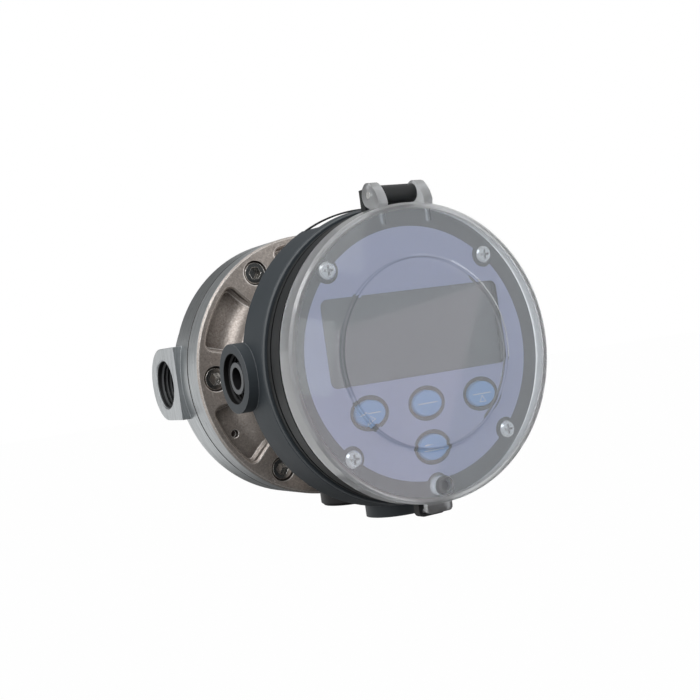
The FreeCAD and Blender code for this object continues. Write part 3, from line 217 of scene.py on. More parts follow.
# tool lines of a lathe: rings on faces square to the axis, and lines round the turned sides
tool_lines, lines_in, lines_out = new_group(
    "tool_lines", {"Lines per metre": TOOL_LINES},
    {"Lines": "NodeSocketFloat", "Along": "NodeSocketFloat"})
from_axis = vector_maths(tool_lines, "LENGTH", off_axis(tool_lines))
facing = axes_of(tool_lines, own_normal(tool_lines))["Y"]
on_face = maths(tool_lines, "GREATER_THAN", maths(tool_lines, "ABSOLUTE", facing), SQUARE_TO_AXIS)
along = mix_values(tool_lines, on_face, axes_of(tool_lines, own_place(tool_lines))["Y"], from_axis)
run = maths(tool_lines, "MULTIPLY", along, lines_in["Lines per metre"])
cut = node(tool_lines, "ShaderNodeTexNoise", {"W": run, "Scale": 1.0, "Detail": 3.0},
           noise_dimensions="1D")
tool_lines.links.new(spread(tool_lines, cut.outputs["Fac"], 0.3, 0.7), lines_out["Lines"])
tool_lines.links.new(along, lines_out["Along"])

# grain of a cast or moulded skin: its height, a slow change of tone, and scattered bright specks
PIT_SHARE = 0.35
CLOUD_SCALE = 55.0
SPARK_SIZE = 0.55
skin_grain, grain_in, grain_out = new_group(
    "skin_grain", {"Grains per metre": 3000.0},
    {"Height": "NodeSocketFloat", "Tone": "NodeSocketFloat", "Speck": "NodeSocketFloat"})
skin_place = own_place(skin_grain)
grains = grain_in["Grains per metre"]
fine = noise(skin_grain, skin_place, grains, 4.0, 0.65)
slow = noise(skin_grain, skin_place, CLOUD_SCALE, 4.0)
pits = node(skin_grain, "ShaderNodeTexVoronoi", {"Vector": skin_place, "Scale": grains})
height = maths(skin_grain, "ADD", fine,
               maths(skin_grain, "MULTIPLY", pits.outputs["Distance"], PIT_SHARE))
tone = shares(skin_grain, (slow, 0.45), (fine, 0.55))
sparks = noise(skin_grain, skin_place, maths(skin_grain, "MULTIPLY", grains, SPARK_SIZE), 1.0)
skin_grain.links.new(height, grain_out["Height"])
skin_grain.links.new(spread(skin_grain, tone, 0.3, 0.7), grain_out["Tone"])
skin_grain.links.new(spread(skin_grain, sparks, 0.66, 0.76), grain_out["Speck"])


def edge_highlight_of(tree, radius, strength):
    """Broken edges placed in a material: the rounded normal, and the mask for painted highlight and
    wear.
    """
    return place_group(tree, wear_and_highlight, {"Radius": radius, "Strength": strength})


def grain_of(tree, grains_per_metre):
    """Skin grain placed in a material."""
    return place_group(tree, skin_grain, {"Grains per metre": grains_per_metre})


def machined_skin(tree):
    """Colour, roughness and normal of turned aluminium."""
    turning = place_group(tree, tool_lines, {"Lines per metre": TOOL_LINES})
    edge = edge_highlight_of(tree, MACHINED_EDGE_R, MACHINED_EDGE_STRENGTH)
    place = own_place(tree)
    axes = axes_of(tree, place)
    pull = node(tree, "ShaderNodeCombineXYZ", {"X": axes["X"], "Y": turning["Along"], "Z": axes["Z"]})
    drawn = stretched(tree, pull.outputs[0], STREAK_SCALE)
    streaks = spread(tree, noise(tree, drawn, 1.0, 4.0), 0.32, 0.68)
    cloud = grain_of(tree, MACHINED_GRAINS)["Tone"]
    tint = shares(tree, (cloud, CLOUD_SHARE), (streaks, STREAK_SHARE), (turning["Lines"], LINE_SHARE))
    colour = mix(tree, tint, MACHINED_DARK, MACHINED_LIGHT)
    nicks = spread(tree, noise(tree, place, NICK_SCALE, 5.0), 0.66, 0.71, 0.0, NICK_SHARE)
    colour = mix(tree, nicks, colour, NICK_DARK)
    # painted highlight along the edges, partly also standing for wear
    colour = mix(tree, edge["Mask"], colour, MACHINED_EDGE_HIGHLIGHT)
    # painted shade: a dark line in the groove where base and cap meet
    from_joint = maths(tree, "SUBTRACT", axes["Y"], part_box("meter_base")[0][1])
    joint_shade = maths(tree, "LESS_THAN", maths(tree, "ABSOLUTE", from_joint), JOINT_HALF)
    colour = mix(tree, joint_shade, colour, JOINT_SHADE)
    roughness = spread(tree, tint, 0.0, 1.0, *MACHINED_ROUGH)
    normal = bumped(tree, turning["Lines"], TOOL_LINE_RELIEF, TOOL_LINE_DEPTH, Normal=edge["Normal"])
    return colour, roughness, normal


def in_bore(tree, mount, radius, depth):
    """A mask of what lies within a radius of a mount's axis and a depth of its mouth."""
    from_mouth = vector_maths(tree, "SUBTRACT", own_place(tree), mount["pos_m"])
    aside = vector_maths(tree, "LENGTH", vector_maths(tree, "CROSS_PRODUCT", from_mouth, mount["axis"]))
    run = vector_maths(tree, "DOT_PRODUCT", from_mouth, mount["axis"])
    near = maths(tree, "LESS_THAN", maths(tree, "ABSOLUTE", run), depth)
    return maths(tree, "MULTIPLY", maths(tree, "LESS_THAN", aside, radius), near)


machined, tree, shader = new_material("machined_aluminium", MACHINED_LIGHT, 0.35, 1.0)
colour, roughness, normal = machined_skin(tree)
inlet, outlet = mounts["inlet_port"], mounts["outlet_port"]
port_r = inlet["dims"]["r_mm"] * MM
# painted shade: the tapped bores are darkened, and also made rougher
shaded_bore = maths(tree, "MAXIMUM", *[in_bore(tree, port, port_r + BORE_MARGIN, BORE_DEPTH)
                                    for port in (inlet, outlet)])
tree.links.new(mix(tree, shaded_bore, colour, BORE_SHADE), shader["Base Color"])
bore_rough = maths(tree, "MULTIPLY", shaded_bore, BORE_ROUGH)
tree.links.new(maths(tree, "MAXIMUM", roughness, bore_rough), shader["Roughness"])
tree.links.new(normal, shader["Normal"])
dress(machined, "meter_base")

# Pipe threads: each port is tapped with a half inch parallel thread, cut in the casting itself.
# One ridge is drawn as a triangle on the wall, wound up the bore, and copied to the other port.
PIPE_PITCH = 1.814 * MM
PIPE_DEPTH = 0.9 * MM
PIPE_TURNS = 8
PIPE_LEAD_IN = 1.2 * MM
WALL_OVERLAP = 0.05 * MM
TRIANGLE_RISE = 1.5
RIDGE_SHARE = 0.92
STEPS_PER_TURN = 40
SMOOTH_BELOW = math.radians(30)


def only(piece=None):
    """Clears the selection, then selects and activates one piece."""
    if bpy.context.object and bpy.context.object.mode != "OBJECT":
        bpy.ops.object.mode_set(mode="OBJECT")
    bpy.ops.object.select_all(action="DESELECT")
    if piece:
        piece.select_set(True)
        bpy.context.view_layer.objects.active = piece


def thread_ridge(name, wall_r, pitch, depth, turns, lead_in):
    """Inner thread along +X from the origin, with its crest towards the axis."""
    only()
    size = (depth + WALL_OVERLAP) / TRIANGLE_RISE
    bpy.ops.mesh.primitive_circle_add(vertices=3, radius=size)
    ridge = bpy.context.object
    ridge.name = name
    bpy.ops.object.mode_set(mode="EDIT")
    bpy.ops.mesh.select_all(action="SELECT")
    bpy.ops.transform.resize(value=(pitch * RIDGE_SHARE / (size * math.sqrt(3)), 1, 1))
    bpy.ops.transform.translate(value=(lead_in, size / 2 - wall_r - WALL_OVERLAP, 0))
    bpy.ops.object.mode_set(mode="OBJECT")
    wound = ridge.modifiers.new("wound", "SCREW")
    wound.axis = "X"
    wound.steps = STEPS_PER_TURN
    wound.render_steps = STEPS_PER_TURN
    wound.iterations = turns
    wound.screw_offset = pitch
    bpy.ops.object.modifier_apply(modifier="wound")
    bpy.ops.object.mode_set(mode="EDIT")
    bpy.ops.mesh.select_all(action="SELECT")
    bpy.ops.mesh.fill_holes(sides=4)
    bpy.ops.mesh.select_all(action="SELECT")
    bpy.ops.mesh.normals_make_consistent(inside=False)
    bpy.ops.object.mode_set(mode="OBJECT")
    bpy.ops.object.shade_smooth_by_angle(angle=SMOOTH_BELOW)
    return ridge


def copy_of(piece, name):
    """A copy with its own mesh."""
    made = piece.copy()
    made.data = piece.data.copy()
    made.name = name
    bpy.context.collection.objects.link(made)
    return made


def settle(piece, place, turn=(0, 0, 0)):
    """Turns and moves a piece, then puts its place into its mesh."""
    piece.location = place
    piece.rotation_euler = turn
    only(piece)
    bpy.ops.object.transform_apply(location=True, rotation=True, scale=True)


def finish_piece(piece, material, body):
    """Material and body of a new piece."""
    piece.data.materials.clear()
    piece.data.materials.append(material)
    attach(piece, body)


inlet_thread = thread_ridge("inlet_thread", port_r, PIPE_PITCH, PIPE_DEPTH, PIPE_TURNS, PIPE_LEAD_IN)
outlet_thread = copy_of(inlet_thread, "outlet_thread")
settle(inlet_thread, inlet["pos_m"])
settle(outlet_thread, outlet["pos_m"], (0, 0, math.pi))
for piece in (inlet_thread, outlet_thread):
    finish_piece(piece, machined, "meter")

# Rotors and their shafts: moulded filled-polymer gears with carbon bushes, running on ground pins
# pressed into the base. Two plated magnets sit in the upper gear's face.
MOULD_EDGE_R = 0.35 * MM
MOULD_EDGE_STRENGTH = 4.5
MOULD_DEPTH = 0.06 * MM
# painted shade laid in recesses, and its share
MOULD_SHADE = (0.003, 0.003, 0.003, 1)
MOULD_SHADE_SHARE = 0.9
ROUGH_SWING = 0.05
SCRATCH_SCALE = (9000.0, 700.0, 2600.0)
# painted highlight on the edges of bright metal, and painted shade in its recesses
BRIGHT_EDGE_HIGHLIGHT = (0.85, 0.85, 0.84, 1)
BRIGHT_EDGE_R = 0.2 * MM
BRIGHT_EDGE_STRENGTH = 2.0
BRIGHT_SHADE = (0.02, 0.02, 0.02, 1)
BRIGHT_SHADE_REACH = 1.5 * MM

# painted shade in recesses: how much of the sky above a point the piece itself hides, as a mask that
# darkens the colour
painted_recess_shade, cavity_in, cavity_out = new_group("painted_recess_shade", {"Reach": 4.0 * MM}, {"Mask": "NodeSocketFloat"})
open_sky = node(painted_recess_shade, "ShaderNodeAmbientOcclusion", {"Distance": cavity_in["Reach"]}, samples=8,
                only_local=True).outputs["AO"]
painted_recess_shade.links.new(spread(painted_recess_shade, open_sky, 0.80, 0.30), cavity_out["Mask"])


def recess_shade_of(tree, reach):
    """A mask of painted shade in the recesses that are no wider than a reach."""
    return place_group(tree, painted_recess_shade, {"Reach": reach})["Mask"]


def moulded(name, light, dark, roughness, grains, relief, edge_lighting_tint, recess_shade=0.0, **sockets):
    """A moulded skin: fine grain, slow change of tone, a painted edge tint that stands for the light
    the edges catch and, within reach, painted shade in recesses.
    """
    material, tree, shader = new_material(name, light, roughness, **sockets)
    skin = grain_of(tree, grains)
    edge = edge_highlight_of(tree, MOULD_EDGE_R, MOULD_EDGE_STRENGTH)
    colour = mix(tree, skin["Tone"], dark, light)
    colour = mix(tree, edge["Mask"], colour, edge_lighting_tint)
    if recess_shade:
        nook_shade = maths(tree, "MULTIPLY", recess_shade_of(tree, recess_shade), MOULD_SHADE_SHARE)
        colour = mix(tree, nook_shade, colour, MOULD_SHADE)
    tree.links.new(colour, shader["Base Color"])
    patchy = spread(tree, skin["Tone"], 0.0, 1.0, roughness + ROUGH_SWING, roughness - ROUGH_SWING)
    tree.links.new(patchy, shader["Roughness"])
    normal = bumped(tree, skin["Height"], relief, MOULD_DEPTH, Normal=edge["Normal"])
    tree.links.new(normal, shader["Normal"])
    return material


def polished(name, light, dark, smooth, scratched, recess_shade=0.0):
    """Bright metal with fine scratches, painted highlights on its edges and, at a share, painted shade
    in its recesses.
    """
    material, tree, shader = new_material(name, light, smooth, 1.0)
    scratch = noise(tree, stretched(tree, own_place(tree), SCRATCH_SCALE), 1.0, 2.0)
    edge = edge_highlight_of(tree, BRIGHT_EDGE_R, BRIGHT_EDGE_STRENGTH)
    colour = mix(tree, spread(tree, scratch, 0.35, 0.65), dark, light)
    colour = mix(tree, edge["Mask"], colour, BRIGHT_EDGE_HIGHLIGHT)
    if recess_shade:
        nook_shade = maths(tree, "MULTIPLY", recess_shade_of(tree, BRIGHT_SHADE_REACH), recess_shade)
        colour = mix(tree, nook_shade, colour, BRIGHT_SHADE)
    tree.links.new(colour, shader["Base Color"])
    tree.links.new(spread(tree, scratch, 0.3, 0.7, scratched, smooth), shader["Roughness"])
    tree.links.new(edge["Normal"], shader["Normal"])
    return material


rotor_polymer = moulded("rotor_polymer", light=(0.030, 0.029, 0.028, 1), dark=(0.018, 0.018, 0.018, 1),
                        roughness=0.5, grains=2200.0, relief=0.3, edge_lighting_tint=(0.06, 0.06, 0.058, 1))
dress(rotor_polymer, "upper_oval_gear", "lower_oval_gear")
bush_carbon = moulded("bush_carbon", light=(0.014, 0.014, 0.015, 1), dark=(0.008, 0.008, 0.008, 1),
                      roughness=0.35, grains=5000.0, relief=0.1, edge_lighting_tint=(0.03, 0.03, 0.03, 1))
dress(bush_carbon, "upper_gear_bush", "lower_gear_bush")
bright_steel = polished("bright_steel", light=(0.66, 0.66, 0.65, 1), dark=(0.52, 0.52, 0.52, 1),
                        smooth=0.16, scratched=0.3)
dress(bright_steel, "upper_gear_shaft", "lower_gear_shaft", "dowel_pins")
magnet_plating = polished("magnet_plating", light=(0.70, 0.68, 0.64, 1), dark=(0.58, 0.57, 0.54, 1),
                          smooth=0.1, scratched=0.2)
dress(magnet_plating, "gear_magnets")

# Body seal: a round cord of nitrile rubber that lies in the base's groove. The cap presses it flat
# when its screws are drawn down.
rubber = moulded("seal_rubber", light=(0.020, 0.020, 0.020, 1), dark=(0.012, 0.012, 0.012, 1),
                 roughness=0.65, grains=2600.0, relief=0.25, edge_lighting_tint=(0.03, 0.03, 0.03, 1))
dress(rubber, "body_seal")

# Cap casting: aluminium with a blasted, warm grey skin on its pocketed face and hub. Only its rim
# and its side were turned afterwards, so they are bright like the base.
BLASTED_LIGHT = (0.64, 0.58, 0.535, 1)
BLASTED_DARK = (0.25, 0.222, 0.202, 1)
BLASTED_ROUGH = (0.48, 0.36)
BLASTED_GRAINS = 1250.0
BLASTED_RELIEF = 0.8
BLASTED_DEPTH = 0.14 * MM
BLASTED_SPECK = (0.72, 0.68, 0.64, 1)
BLASTED_SPECK_SHARE = 0.55
# painted highlight along the rim, the pocket lips and the counterbores
BLASTED_EDGE_HIGHLIGHT = (0.92, 0.89, 0.86, 1)
BLASTED_EDGE_R = 0.9 * MM
BLASTED_EDGE_STRENGTH = 9.0
# painted shade in the pockets and their creases
BLASTED_SHADE = (0.07, 0.056, 0.048, 1)
POCKET_SHADE_REACH = 15.0 * MM
POCKET_SHADE_SHARE = 0.88
CREASE_SHADE_REACH = 1.6 * MM
CREASE_SHADE_SHARE = 0.92
RIM_LINE = 0.12 * MM


def mix_vectors(tree, share, first, second):
    """Two directions blended by a mask."""
    made = node(tree, "ShaderNodeMix", {0: share, 4: first, 5: second}, data_type="VECTOR")
    return made.outputs[1]


blasted, tree, shader = new_material("blasted_casting", BLASTED_LIGHT, 0.45, 0.7)
skin = grain_of(tree, BLASTED_GRAINS)
edge = edge_highlight_of(tree, BLASTED_EDGE_R, BLASTED_EDGE_STRENGTH)
colour = mix(tree, skin["Tone"], BLASTED_DARK, BLASTED_LIGHT)
colour = mix(tree, maths(tree, "MULTIPLY", skin["Speck"], BLASTED_SPECK_SHARE), colour, BLASTED_SPECK)
# painted shade: pockets darkened by how much of the sky the cap hides, their creases more
pocket_shade = maths(tree, "MULTIPLY", recess_shade_of(tree, POCKET_SHADE_REACH), POCKET_SHADE_SHARE)
colour = mix(tree, pocket_shade, colour, BLASTED_SHADE)
nook_shade = spread(tree, recess_shade_of(tree, CREASE_SHADE_REACH), 0.05, 0.6, 0.0, CREASE_SHADE_SHARE)
colour = mix(tree, nook_shade, colour, BLASTED_SHADE)
# painted highlight along the rim, the pocket lips and the counterbores
colour = mix(tree, edge["Mask"], colour, BLASTED_EDGE_HIGHLIGHT)
roughness = spread(tree, skin["Tone"], 0.0, 1.0, *BLASTED_ROUGH)
normal = bumped(tree, skin["Height"], BLASTED_RELIEF, BLASTED_DEPTH, Normal=edge["Normal"])
rim_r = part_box("meter_cap")[1][0] - RIM_LINE
turned_side = maths(tree, "GREATER_THAN", vector_maths(tree, "LENGTH", off_axis(tree)), rim_r)
side_colour, side_rough, side_normal = machined_skin(tree)
tree.links.new(mix(tree, turned_side, colour, side_colour), shader["Base Color"])
tree.links.new(mix_values(tree, turned_side, roughness, side_rough), shader["Roughness"])
tree.links.new(mix_vectors(tree, turned_side, normal, side_normal), shader["Normal"])
dress(blasted, "meter_cap")

# Cap screws: six socket screws of dark polished stainless steel. They are sunk in counterbores in
# the cap's face and threaded into the base.
# painted shade in the sockets and round the heads, painted highlight on their edges
dark_stainless = polished("dark_stainless", light=(0.74, 0.72, 0.69, 1), dark=(0.50, 0.485, 0.465, 1),
                          smooth=0.10, scratched=0.20, recess_shade=0.7)
dress(dark_stainless, "cap_screws")

# Sensor: a small green circuit board with two sensing chips towards the gears. It stands on three
# posts in the hub, held by small screws.
BOARD_GREEN = (0.012, 0.10, 0.045, 1)
BOARD_TRACK = (0.025, 0.17, 0.075, 1)
BOARD_COPPER = (0.05, 0.24, 0.11, 1)
BOARD_GRAINS = 1800.0
BOARD_HAZE = 0.3
TRACK_SCALE = 260.0
TRACK_GAP = 0.06
circuit, tree, shader = new_material("circuit_board", BOARD_GREEN, 0.35)
upright = {"Vector": own_place(tree), "Rotation": (math.pi / 2, 0, 0), "Scale": (TRACK_SCALE,) * 3}
tracks = node(tree, "ShaderNodeTexBrick", {
    "Vector": node(tree, "ShaderNodeMapping", upright).outputs[0], "Scale": 1.0,
    "Mortar Size": TRACK_GAP, "Color1": BOARD_GREEN, "Color2": BOARD_TRACK, "Mortar": BOARD_COPPER})
weave = grain_of(tree, BOARD_GRAINS)["Tone"]
haze = maths(tree, "MULTIPLY", weave, BOARD_HAZE)
tree.links.new(mix(tree, haze, tracks.outputs["Color"], BOARD_GREEN), shader["Base Color"])
tree.links.new(spread(tree, weave, 0.0, 1.0, 0.42, 0.3), shader["Roughness"])
dress(circuit, "pulse_sensor_board", "display_board")
dress(bright_steel, "sensor_board_screws")

# Conduit plug: a black moulded screw plug with a coin slot. It closes the conduit boss under the
# hub when the signal leaves through the housing.
black_satin = moulded("black_satin", light=(0.012, 0.012, 0.013, 1), dark=(0.008, 0.008, 0.009, 1),
                      roughness=0.50, grains=3200.0, relief=0.22, edge_lighting_tint=(0.035, 0.036, 0.038, 1),
                      Specular_IOR_Level=0.3)
dress(black_satin, "conduit_plug")

# Hub gasket: a flat ring of the same rubber, cut from sheet. The housing's four screws clamp it
# between hub and housing.
dress(rubber, "hub_gasket")

# Display housing: slate grey moulded shell with a fine spark-eroded skin, two cable entries and a
# flat on top, held to the hub by four screws inside.
SLATE_LIP_HIGHLIGHT = (0.11, 0.12, 0.128, 1)
LIP_SETBACK = 0.35 * MM
LIP_HALF = 0.22 * MM
ENTRY_WALL_R = 9.9 * MM
ENTRY_MARGIN = 0.1 * MM
ENTRY_DEPTH = 20.0 * MM
ENTRY_SHADE = (0.003, 0.003, 0.003, 1)
# its pale edge tint is a painted highlight along the edges
slate = moulded("slate_housing", light=(0.044, 0.054, 0.062, 1), dark=(0.034, 0.042, 0.049, 1),
                roughness=0.55, grains=3600.0, relief=0.2, edge_lighting_tint=(0.30, 0.32, 0.34, 1),
                Specular_IOR_Level=0.35)


def paint_over(material, mask, colour):
    """Lays a colour over a finished skin where a mask says so."""
    tree = material.node_tree
    base = tree.nodes["Principled BSDF"].inputs["Base Color"]
    tree.links.new(mix(tree, mask, base.links[0].from_socket, colour), base)


def in_entries(tree, radius):
    """A mask of what lies inside either cable entry, within a radius of its axis."""
    return maths(tree, "MAXIMUM", *[in_bore(tree, mounts[side + "_cable_entry"], radius, ENTRY_DEPTH)
                                    for side in ("left", "bottom")])


tree = slate.node_tree
# painted highlight: a thin pale line along the housing's lip
lip_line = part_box("display_housing")[0][1] + LIP_SETBACK
from_lip = maths(tree, "SUBTRACT", axes_of(tree, own_place(tree))["Y"], lip_line)
lip_highlight = maths(tree, "LESS_THAN", maths(tree, "ABSOLUTE", from_lip), LIP_HALF)
paint_over(slate, lip_highlight, SLATE_LIP_HIGHLIGHT)
# painted shade: near black inside the cable entries
paint_over(slate, in_entries(tree, ENTRY_WALL_R + ENTRY_MARGIN), ENTRY_SHADE)
dress(slate, "display_housing")
dress(bright_steel, "housing_screws")

# Top hoop: a thin moulded strap that bridges the flat on the housing's top. A tag or a lanyard is
# threaded under it.
hoop_plastic = moulded("hoop_plastic", light=(0.020, 0.022, 0.024, 1), dark=(0.012, 0.013, 0.014, 1),
                       roughness=0.45, grains=3000.0, relief=0.2, edge_lighting_tint=(0.05, 0.052, 0.055, 1))
dress(hoop_plastic, "top_hoop")

# Conduit threads: both cable entries are tapped in the moulding with a 20 mm conduit thread. One
# ridge is wound in front of the left gland and copied to the bottom entry.
CONDUIT_PITCH = 1.5 * MM
CONDUIT_DEPTH = 0.8 * MM
CONDUIT_TURNS = 4
CONDUIT_LEAD_IN = 0.5 * MM
left_thread = thread_ridge("left_entry_thread", ENTRY_WALL_R, CONDUIT_PITCH, CONDUIT_DEPTH,
                           CONDUIT_TURNS, CONDUIT_LEAD_IN)
bottom_thread = copy_of(left_thread, "bottom_entry_thread")
settle(left_thread, mounts["left_cable_entry"]["pos_m"])
settle(bottom_thread, mounts["bottom_cable_entry"]["pos_m"], (0, -math.pi / 2, 0))
for piece in (left_thread, bottom_thread):
    finish_piece(piece, black_satin, "meter")

# Cable glands: grey moulded inserts, screwed into the back of the entries. Their nozzles stand free
# of the entry's wall. Shade in their holes and recesses is painted into their colour, near black.
GLAND_HOLE_R = 4.35 * MM
GLAND_HOLE_SHADE = (0.010, 0.010, 0.011, 1)
gland = moulded("gland_polymer", light=(0.120, 0.128, 0.136, 1), dark=(0.090, 0.096, 0.102, 1),
                roughness=0.45, grains=3400.0, relief=0.22, edge_lighting_tint=(0.20, 0.21, 0.22, 1),
                recess_shade=7.0 * MM)
# painted shade: near black in the gland holes
paint_over(gland, in_entries(gland.node_tree, GLAND_HOLE_R + ENTRY_MARGIN), GLAND_HOLE_SHADE)
dress(gland, "left_cable_gland", "bottom_cable_gland")

# Battery: two cells in a dark printed wrap with bare steel ends. They lie side by side in a black
# moulded holder on the housing's floor.
WRAP_BAND = (0.035, 0.045, 0.070, 1)
WRAP_SHEEN = (0.05, 0.06, 0.09, 1)
WRAP_STEEL = (0.33, 0.34, 0.35, 1)
WRAP_GRAINS = 900.0
BARE_END = 3.0 * MM
dress(black_satin, "battery_holder")
wrap, tree, shader = new_material("cell_wrap", WRAP_BAND, 0.3)
reach = maths(tree, "ABSOLUTE", axes_of(tree, own_place(tree))["X"])
bare_end = maths(tree, "GREATER_THAN", reach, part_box("battery_cells")[1][0] - BARE_END)
film = mix(tree, grain_of(tree, WRAP_GRAINS)["Tone"], WRAP_BAND, WRAP_SHEEN)
tree.links.new(mix(tree, bare_end, film, WRAP_STEEL), shader["Base Color"])
tree.links.new(bare_end, shader["Metallic"])
dress(wrap, "battery_cells")

# Display board: a green board, screwed to the bezel's back, that carries the display. Four black
# key switches and a green terminal block are soldered to it.
terminal_plastic = moulded("terminal_plastic", light=(0.012, 0.15, 0.045, 1),
                           dark=(0.008, 0.11, 0.032, 1), roughness=0.42, grains=3000.0, relief=0.2,
                           edge_lighting_tint=(0.03, 0.22, 0.08, 1))
dress(bright_steel, "board_screws")
dress(black_satin, "key_switches")
dress(terminal_plastic, "terminal_block")

# Display: a reflective liquid crystal glass in a dark pressed frame, clipped to the board. Switched
# off, it is an even grey green with a fine grid of cells.
GLASS_GREY = (0.020, 0.025, 0.025, 1)
GLASS_CELL = (0.017, 0.022, 0.022, 1)
GLASS_CLOUD = (0.025, 0.028, 0.027, 1)
FRAME_DARK = (0.012, 0.013, 0.014, 1)
FRAME_FACE = 0.3 * MM
CELL_SCALE = 2600.0
GLASS_CLOUD_SCALE = 24.0
GLASS_CLOUD_SHARE = 0.5
crystal, tree, shader = new_material("liquid_crystal", GLASS_GREY, 0.28, Specular_IOR_Level=0.3)
place = own_place(tree)
sunk = maths(tree, "GREATER_THAN", axes_of(tree, place)["Y"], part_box("lcd_module")[0][1] + FRAME_FACE)
cells = node(tree, "ShaderNodeTexChecker", {"Vector": place, "Scale": CELL_SCALE, "Color1": GLASS_CELL,
                                            "Color2": GLASS_GREY})
cloud = spread(tree, noise(tree, place, GLASS_CLOUD_SCALE, 2.0), 0.3, 0.7, 0.0, GLASS_CLOUD_SHARE)
glass = mix(tree, cloud, cells.outputs["Color"], GLASS_CLOUD)
tree.links.new(mix(tree, sunk, FRAME_DARK, glass), shader["Base Color"])
dress(crystal, "lcd_module")

# Bezel: black satin moulding with a grooved rim, hinge knuckle and catch, on a rubber seal. Four
# nickelled cross-head screws hold it to the housing.
# painted shade in the bezel's grooves and recesses
bezel_black = moulded("bezel_black", light=(0.022, 0.024, 0.025, 1), dark=(0.016, 0.017, 0.018, 1),
                      roughness=0.5, grains=3000.0, relief=0.1, edge_lighting_tint=(0.060, 0.064, 0.067, 1),
                      recess_shade=2.0 * MM, Specular_IOR_Level=0.3)
# painted shade in the cross recesses, painted highlight on their edges
screw_nickel = polished("screw_nickel", light=(0.74, 0.74, 0.73, 1), dark=(0.58, 0.58, 0.58, 1),
                        smooth=0.12, scratched=0.24, recess_shade=0.95)
dress(rubber, "bezel_gasket")
dress(bezel_black, "bezel")
dress(screw_nickel, "bezel_screws")

# Window: a clear polycarbonate pane in front of the display. It is set in a rebate behind the
# bezel's plate.
PANE_CLEAR = (0.93, 0.95, 0.95, 1)
PANE_GRAINS = 400.0
pane, tree, shader = new_material("window_clear", PANE_CLEAR, 0.04, IOR=1.5, Transmission_Weight=0.97)
haze = grain_of(tree, PANE_GRAINS)["Tone"]
tree.links.new(spread(tree, haze, 0.0, 1.0, 0.03, 0.07), shader["Roughness"])
dress(pane, "window_pane")

# Face label: a printed lilac grey film with a satin skin. It is die cut round the window and the
# keys and stuck to the bezel's plate.
LABEL_LILAC = (0.395, 0.416, 0.640, 1)
LABEL_SHADE = (0.365, 0.385, 0.605, 1)
LABEL_GRAINS = 5200.0
LABEL_RELIEF = 0.12
LABEL_DEPTH = 0.02 * MM
label, tree, shader = new_material("label_film", LABEL_LILAC, 0.5)
film = grain_of(tree, LABEL_GRAINS)
tree.links.new(mix(tree, film["Tone"], LABEL_SHADE, LABEL_LILAC), shader["Base Color"])
tree.links.new(spread(tree, film["Tone"], 0.0, 1.0, 0.55, 0.45), shader["Roughness"])
tree.links.new(bumped(tree, film["Height"], LABEL_RELIEF, LABEL_DEPTH), shader["Normal"])
dress(label, "face_label")

# Keys: four oval blue push keys, each with a thin white rule, and an arrow on two of them, printed
# on its face as a raised film.
PRINT_WHITE = (0.80, 0.82, 0.86, 1)
PRINT_SHADE = (0.70, 0.73, 0.79, 1)
PRINT_GRAINS = 6000.0
PRINT_T = 0.04 * MM
RULE_HALF = 4.3 * MM
RULE_W = 0.34 * MM
RULE_ROUND = 0.45 * RULE_W
ARROW_R = 1.9 * MM
ARROW_W = 0.7 * RULE_W
ARROW_DROP = 2.4 * MM
ARROW_TURNS = {"left": math.pi / 2, "centre": None, "right": 0.0, "lower": None}
key_blue = moulded("key_blue", light=(0.225, 0.445, 0.82, 1), dark=(0.190, 0.400, 0.76, 1),
                   roughness=0.4, grains=3800.0, relief=0.15, edge_lighting_tint=(0.14, 0.30, 0.60, 1))
dress(key_blue, "left_key", "centre_key", "right_key", "lower_key")
print_white, tree, shader = new_material("print_white", PRINT_WHITE, 0.5)
ink = grain_of(tree, PRINT_GRAINS)["Tone"]
tree.links.new(mix(tree, ink, PRINT_SHADE, PRINT_WHITE), shader["Base Color"])


def raise_print():
    """Gives the flat print in edit mode its thickness towards -Y, and leaves edit mode."""
    bpy.ops.mesh.select_all(action="SELECT")
    bpy.ops.mesh.extrude_region_move(TRANSFORM_OT_translate={"value": (0, -PRINT_T, 0)})
    bpy.ops.mesh.select_all(action="SELECT")
    bpy.ops.mesh.normals_make_consistent(inside=False)
    bpy.ops.object.mode_set(mode="OBJECT")


def printed_rule(name, half):
    """A thin printed line with rounded ends, lying in XZ and facing -Y."""
    only()
    bpy.ops.mesh.primitive_plane_add(size=2 * half, rotation=(math.pi / 2, 0, 0))
    rule = bpy.context.object
    rule.name = name
    bpy.ops.object.transform_apply(rotation=True)
    bpy.ops.object.mode_set(mode="EDIT")
    bpy.ops.mesh.select_all(action="SELECT")
    bpy.ops.transform.resize(value=(1, 1, RULE_W / (2 * half)))
    bpy.ops.mesh.bevel(affect="VERTICES", offset=RULE_ROUND, segments=3)
    raise_print()
    return rule


def printed_arrow(name, turn):
    """A small outlined triangle, lying in XZ and facing -Y."""
    only()
    bpy.ops.mesh.primitive_circle_add(vertices=3, radius=ARROW_R, fill_type="NGON",
                                      rotation=(math.pi / 2, 0, 0))
    arrow = bpy.context.object
    arrow.name = name
    bpy.ops.object.transform_apply(rotation=True)
    bpy.ops.object.mode_set(mode="EDIT")
    bpy.ops.mesh.select_all(action="SELECT")
    bpy.ops.mesh.inset(thickness=ARROW_W)
    bpy.ops.mesh.delete(type="FACE")
    raise_print()
    settle(arrow, (0, 0, 0), (0, turn, 0))
    return arrow


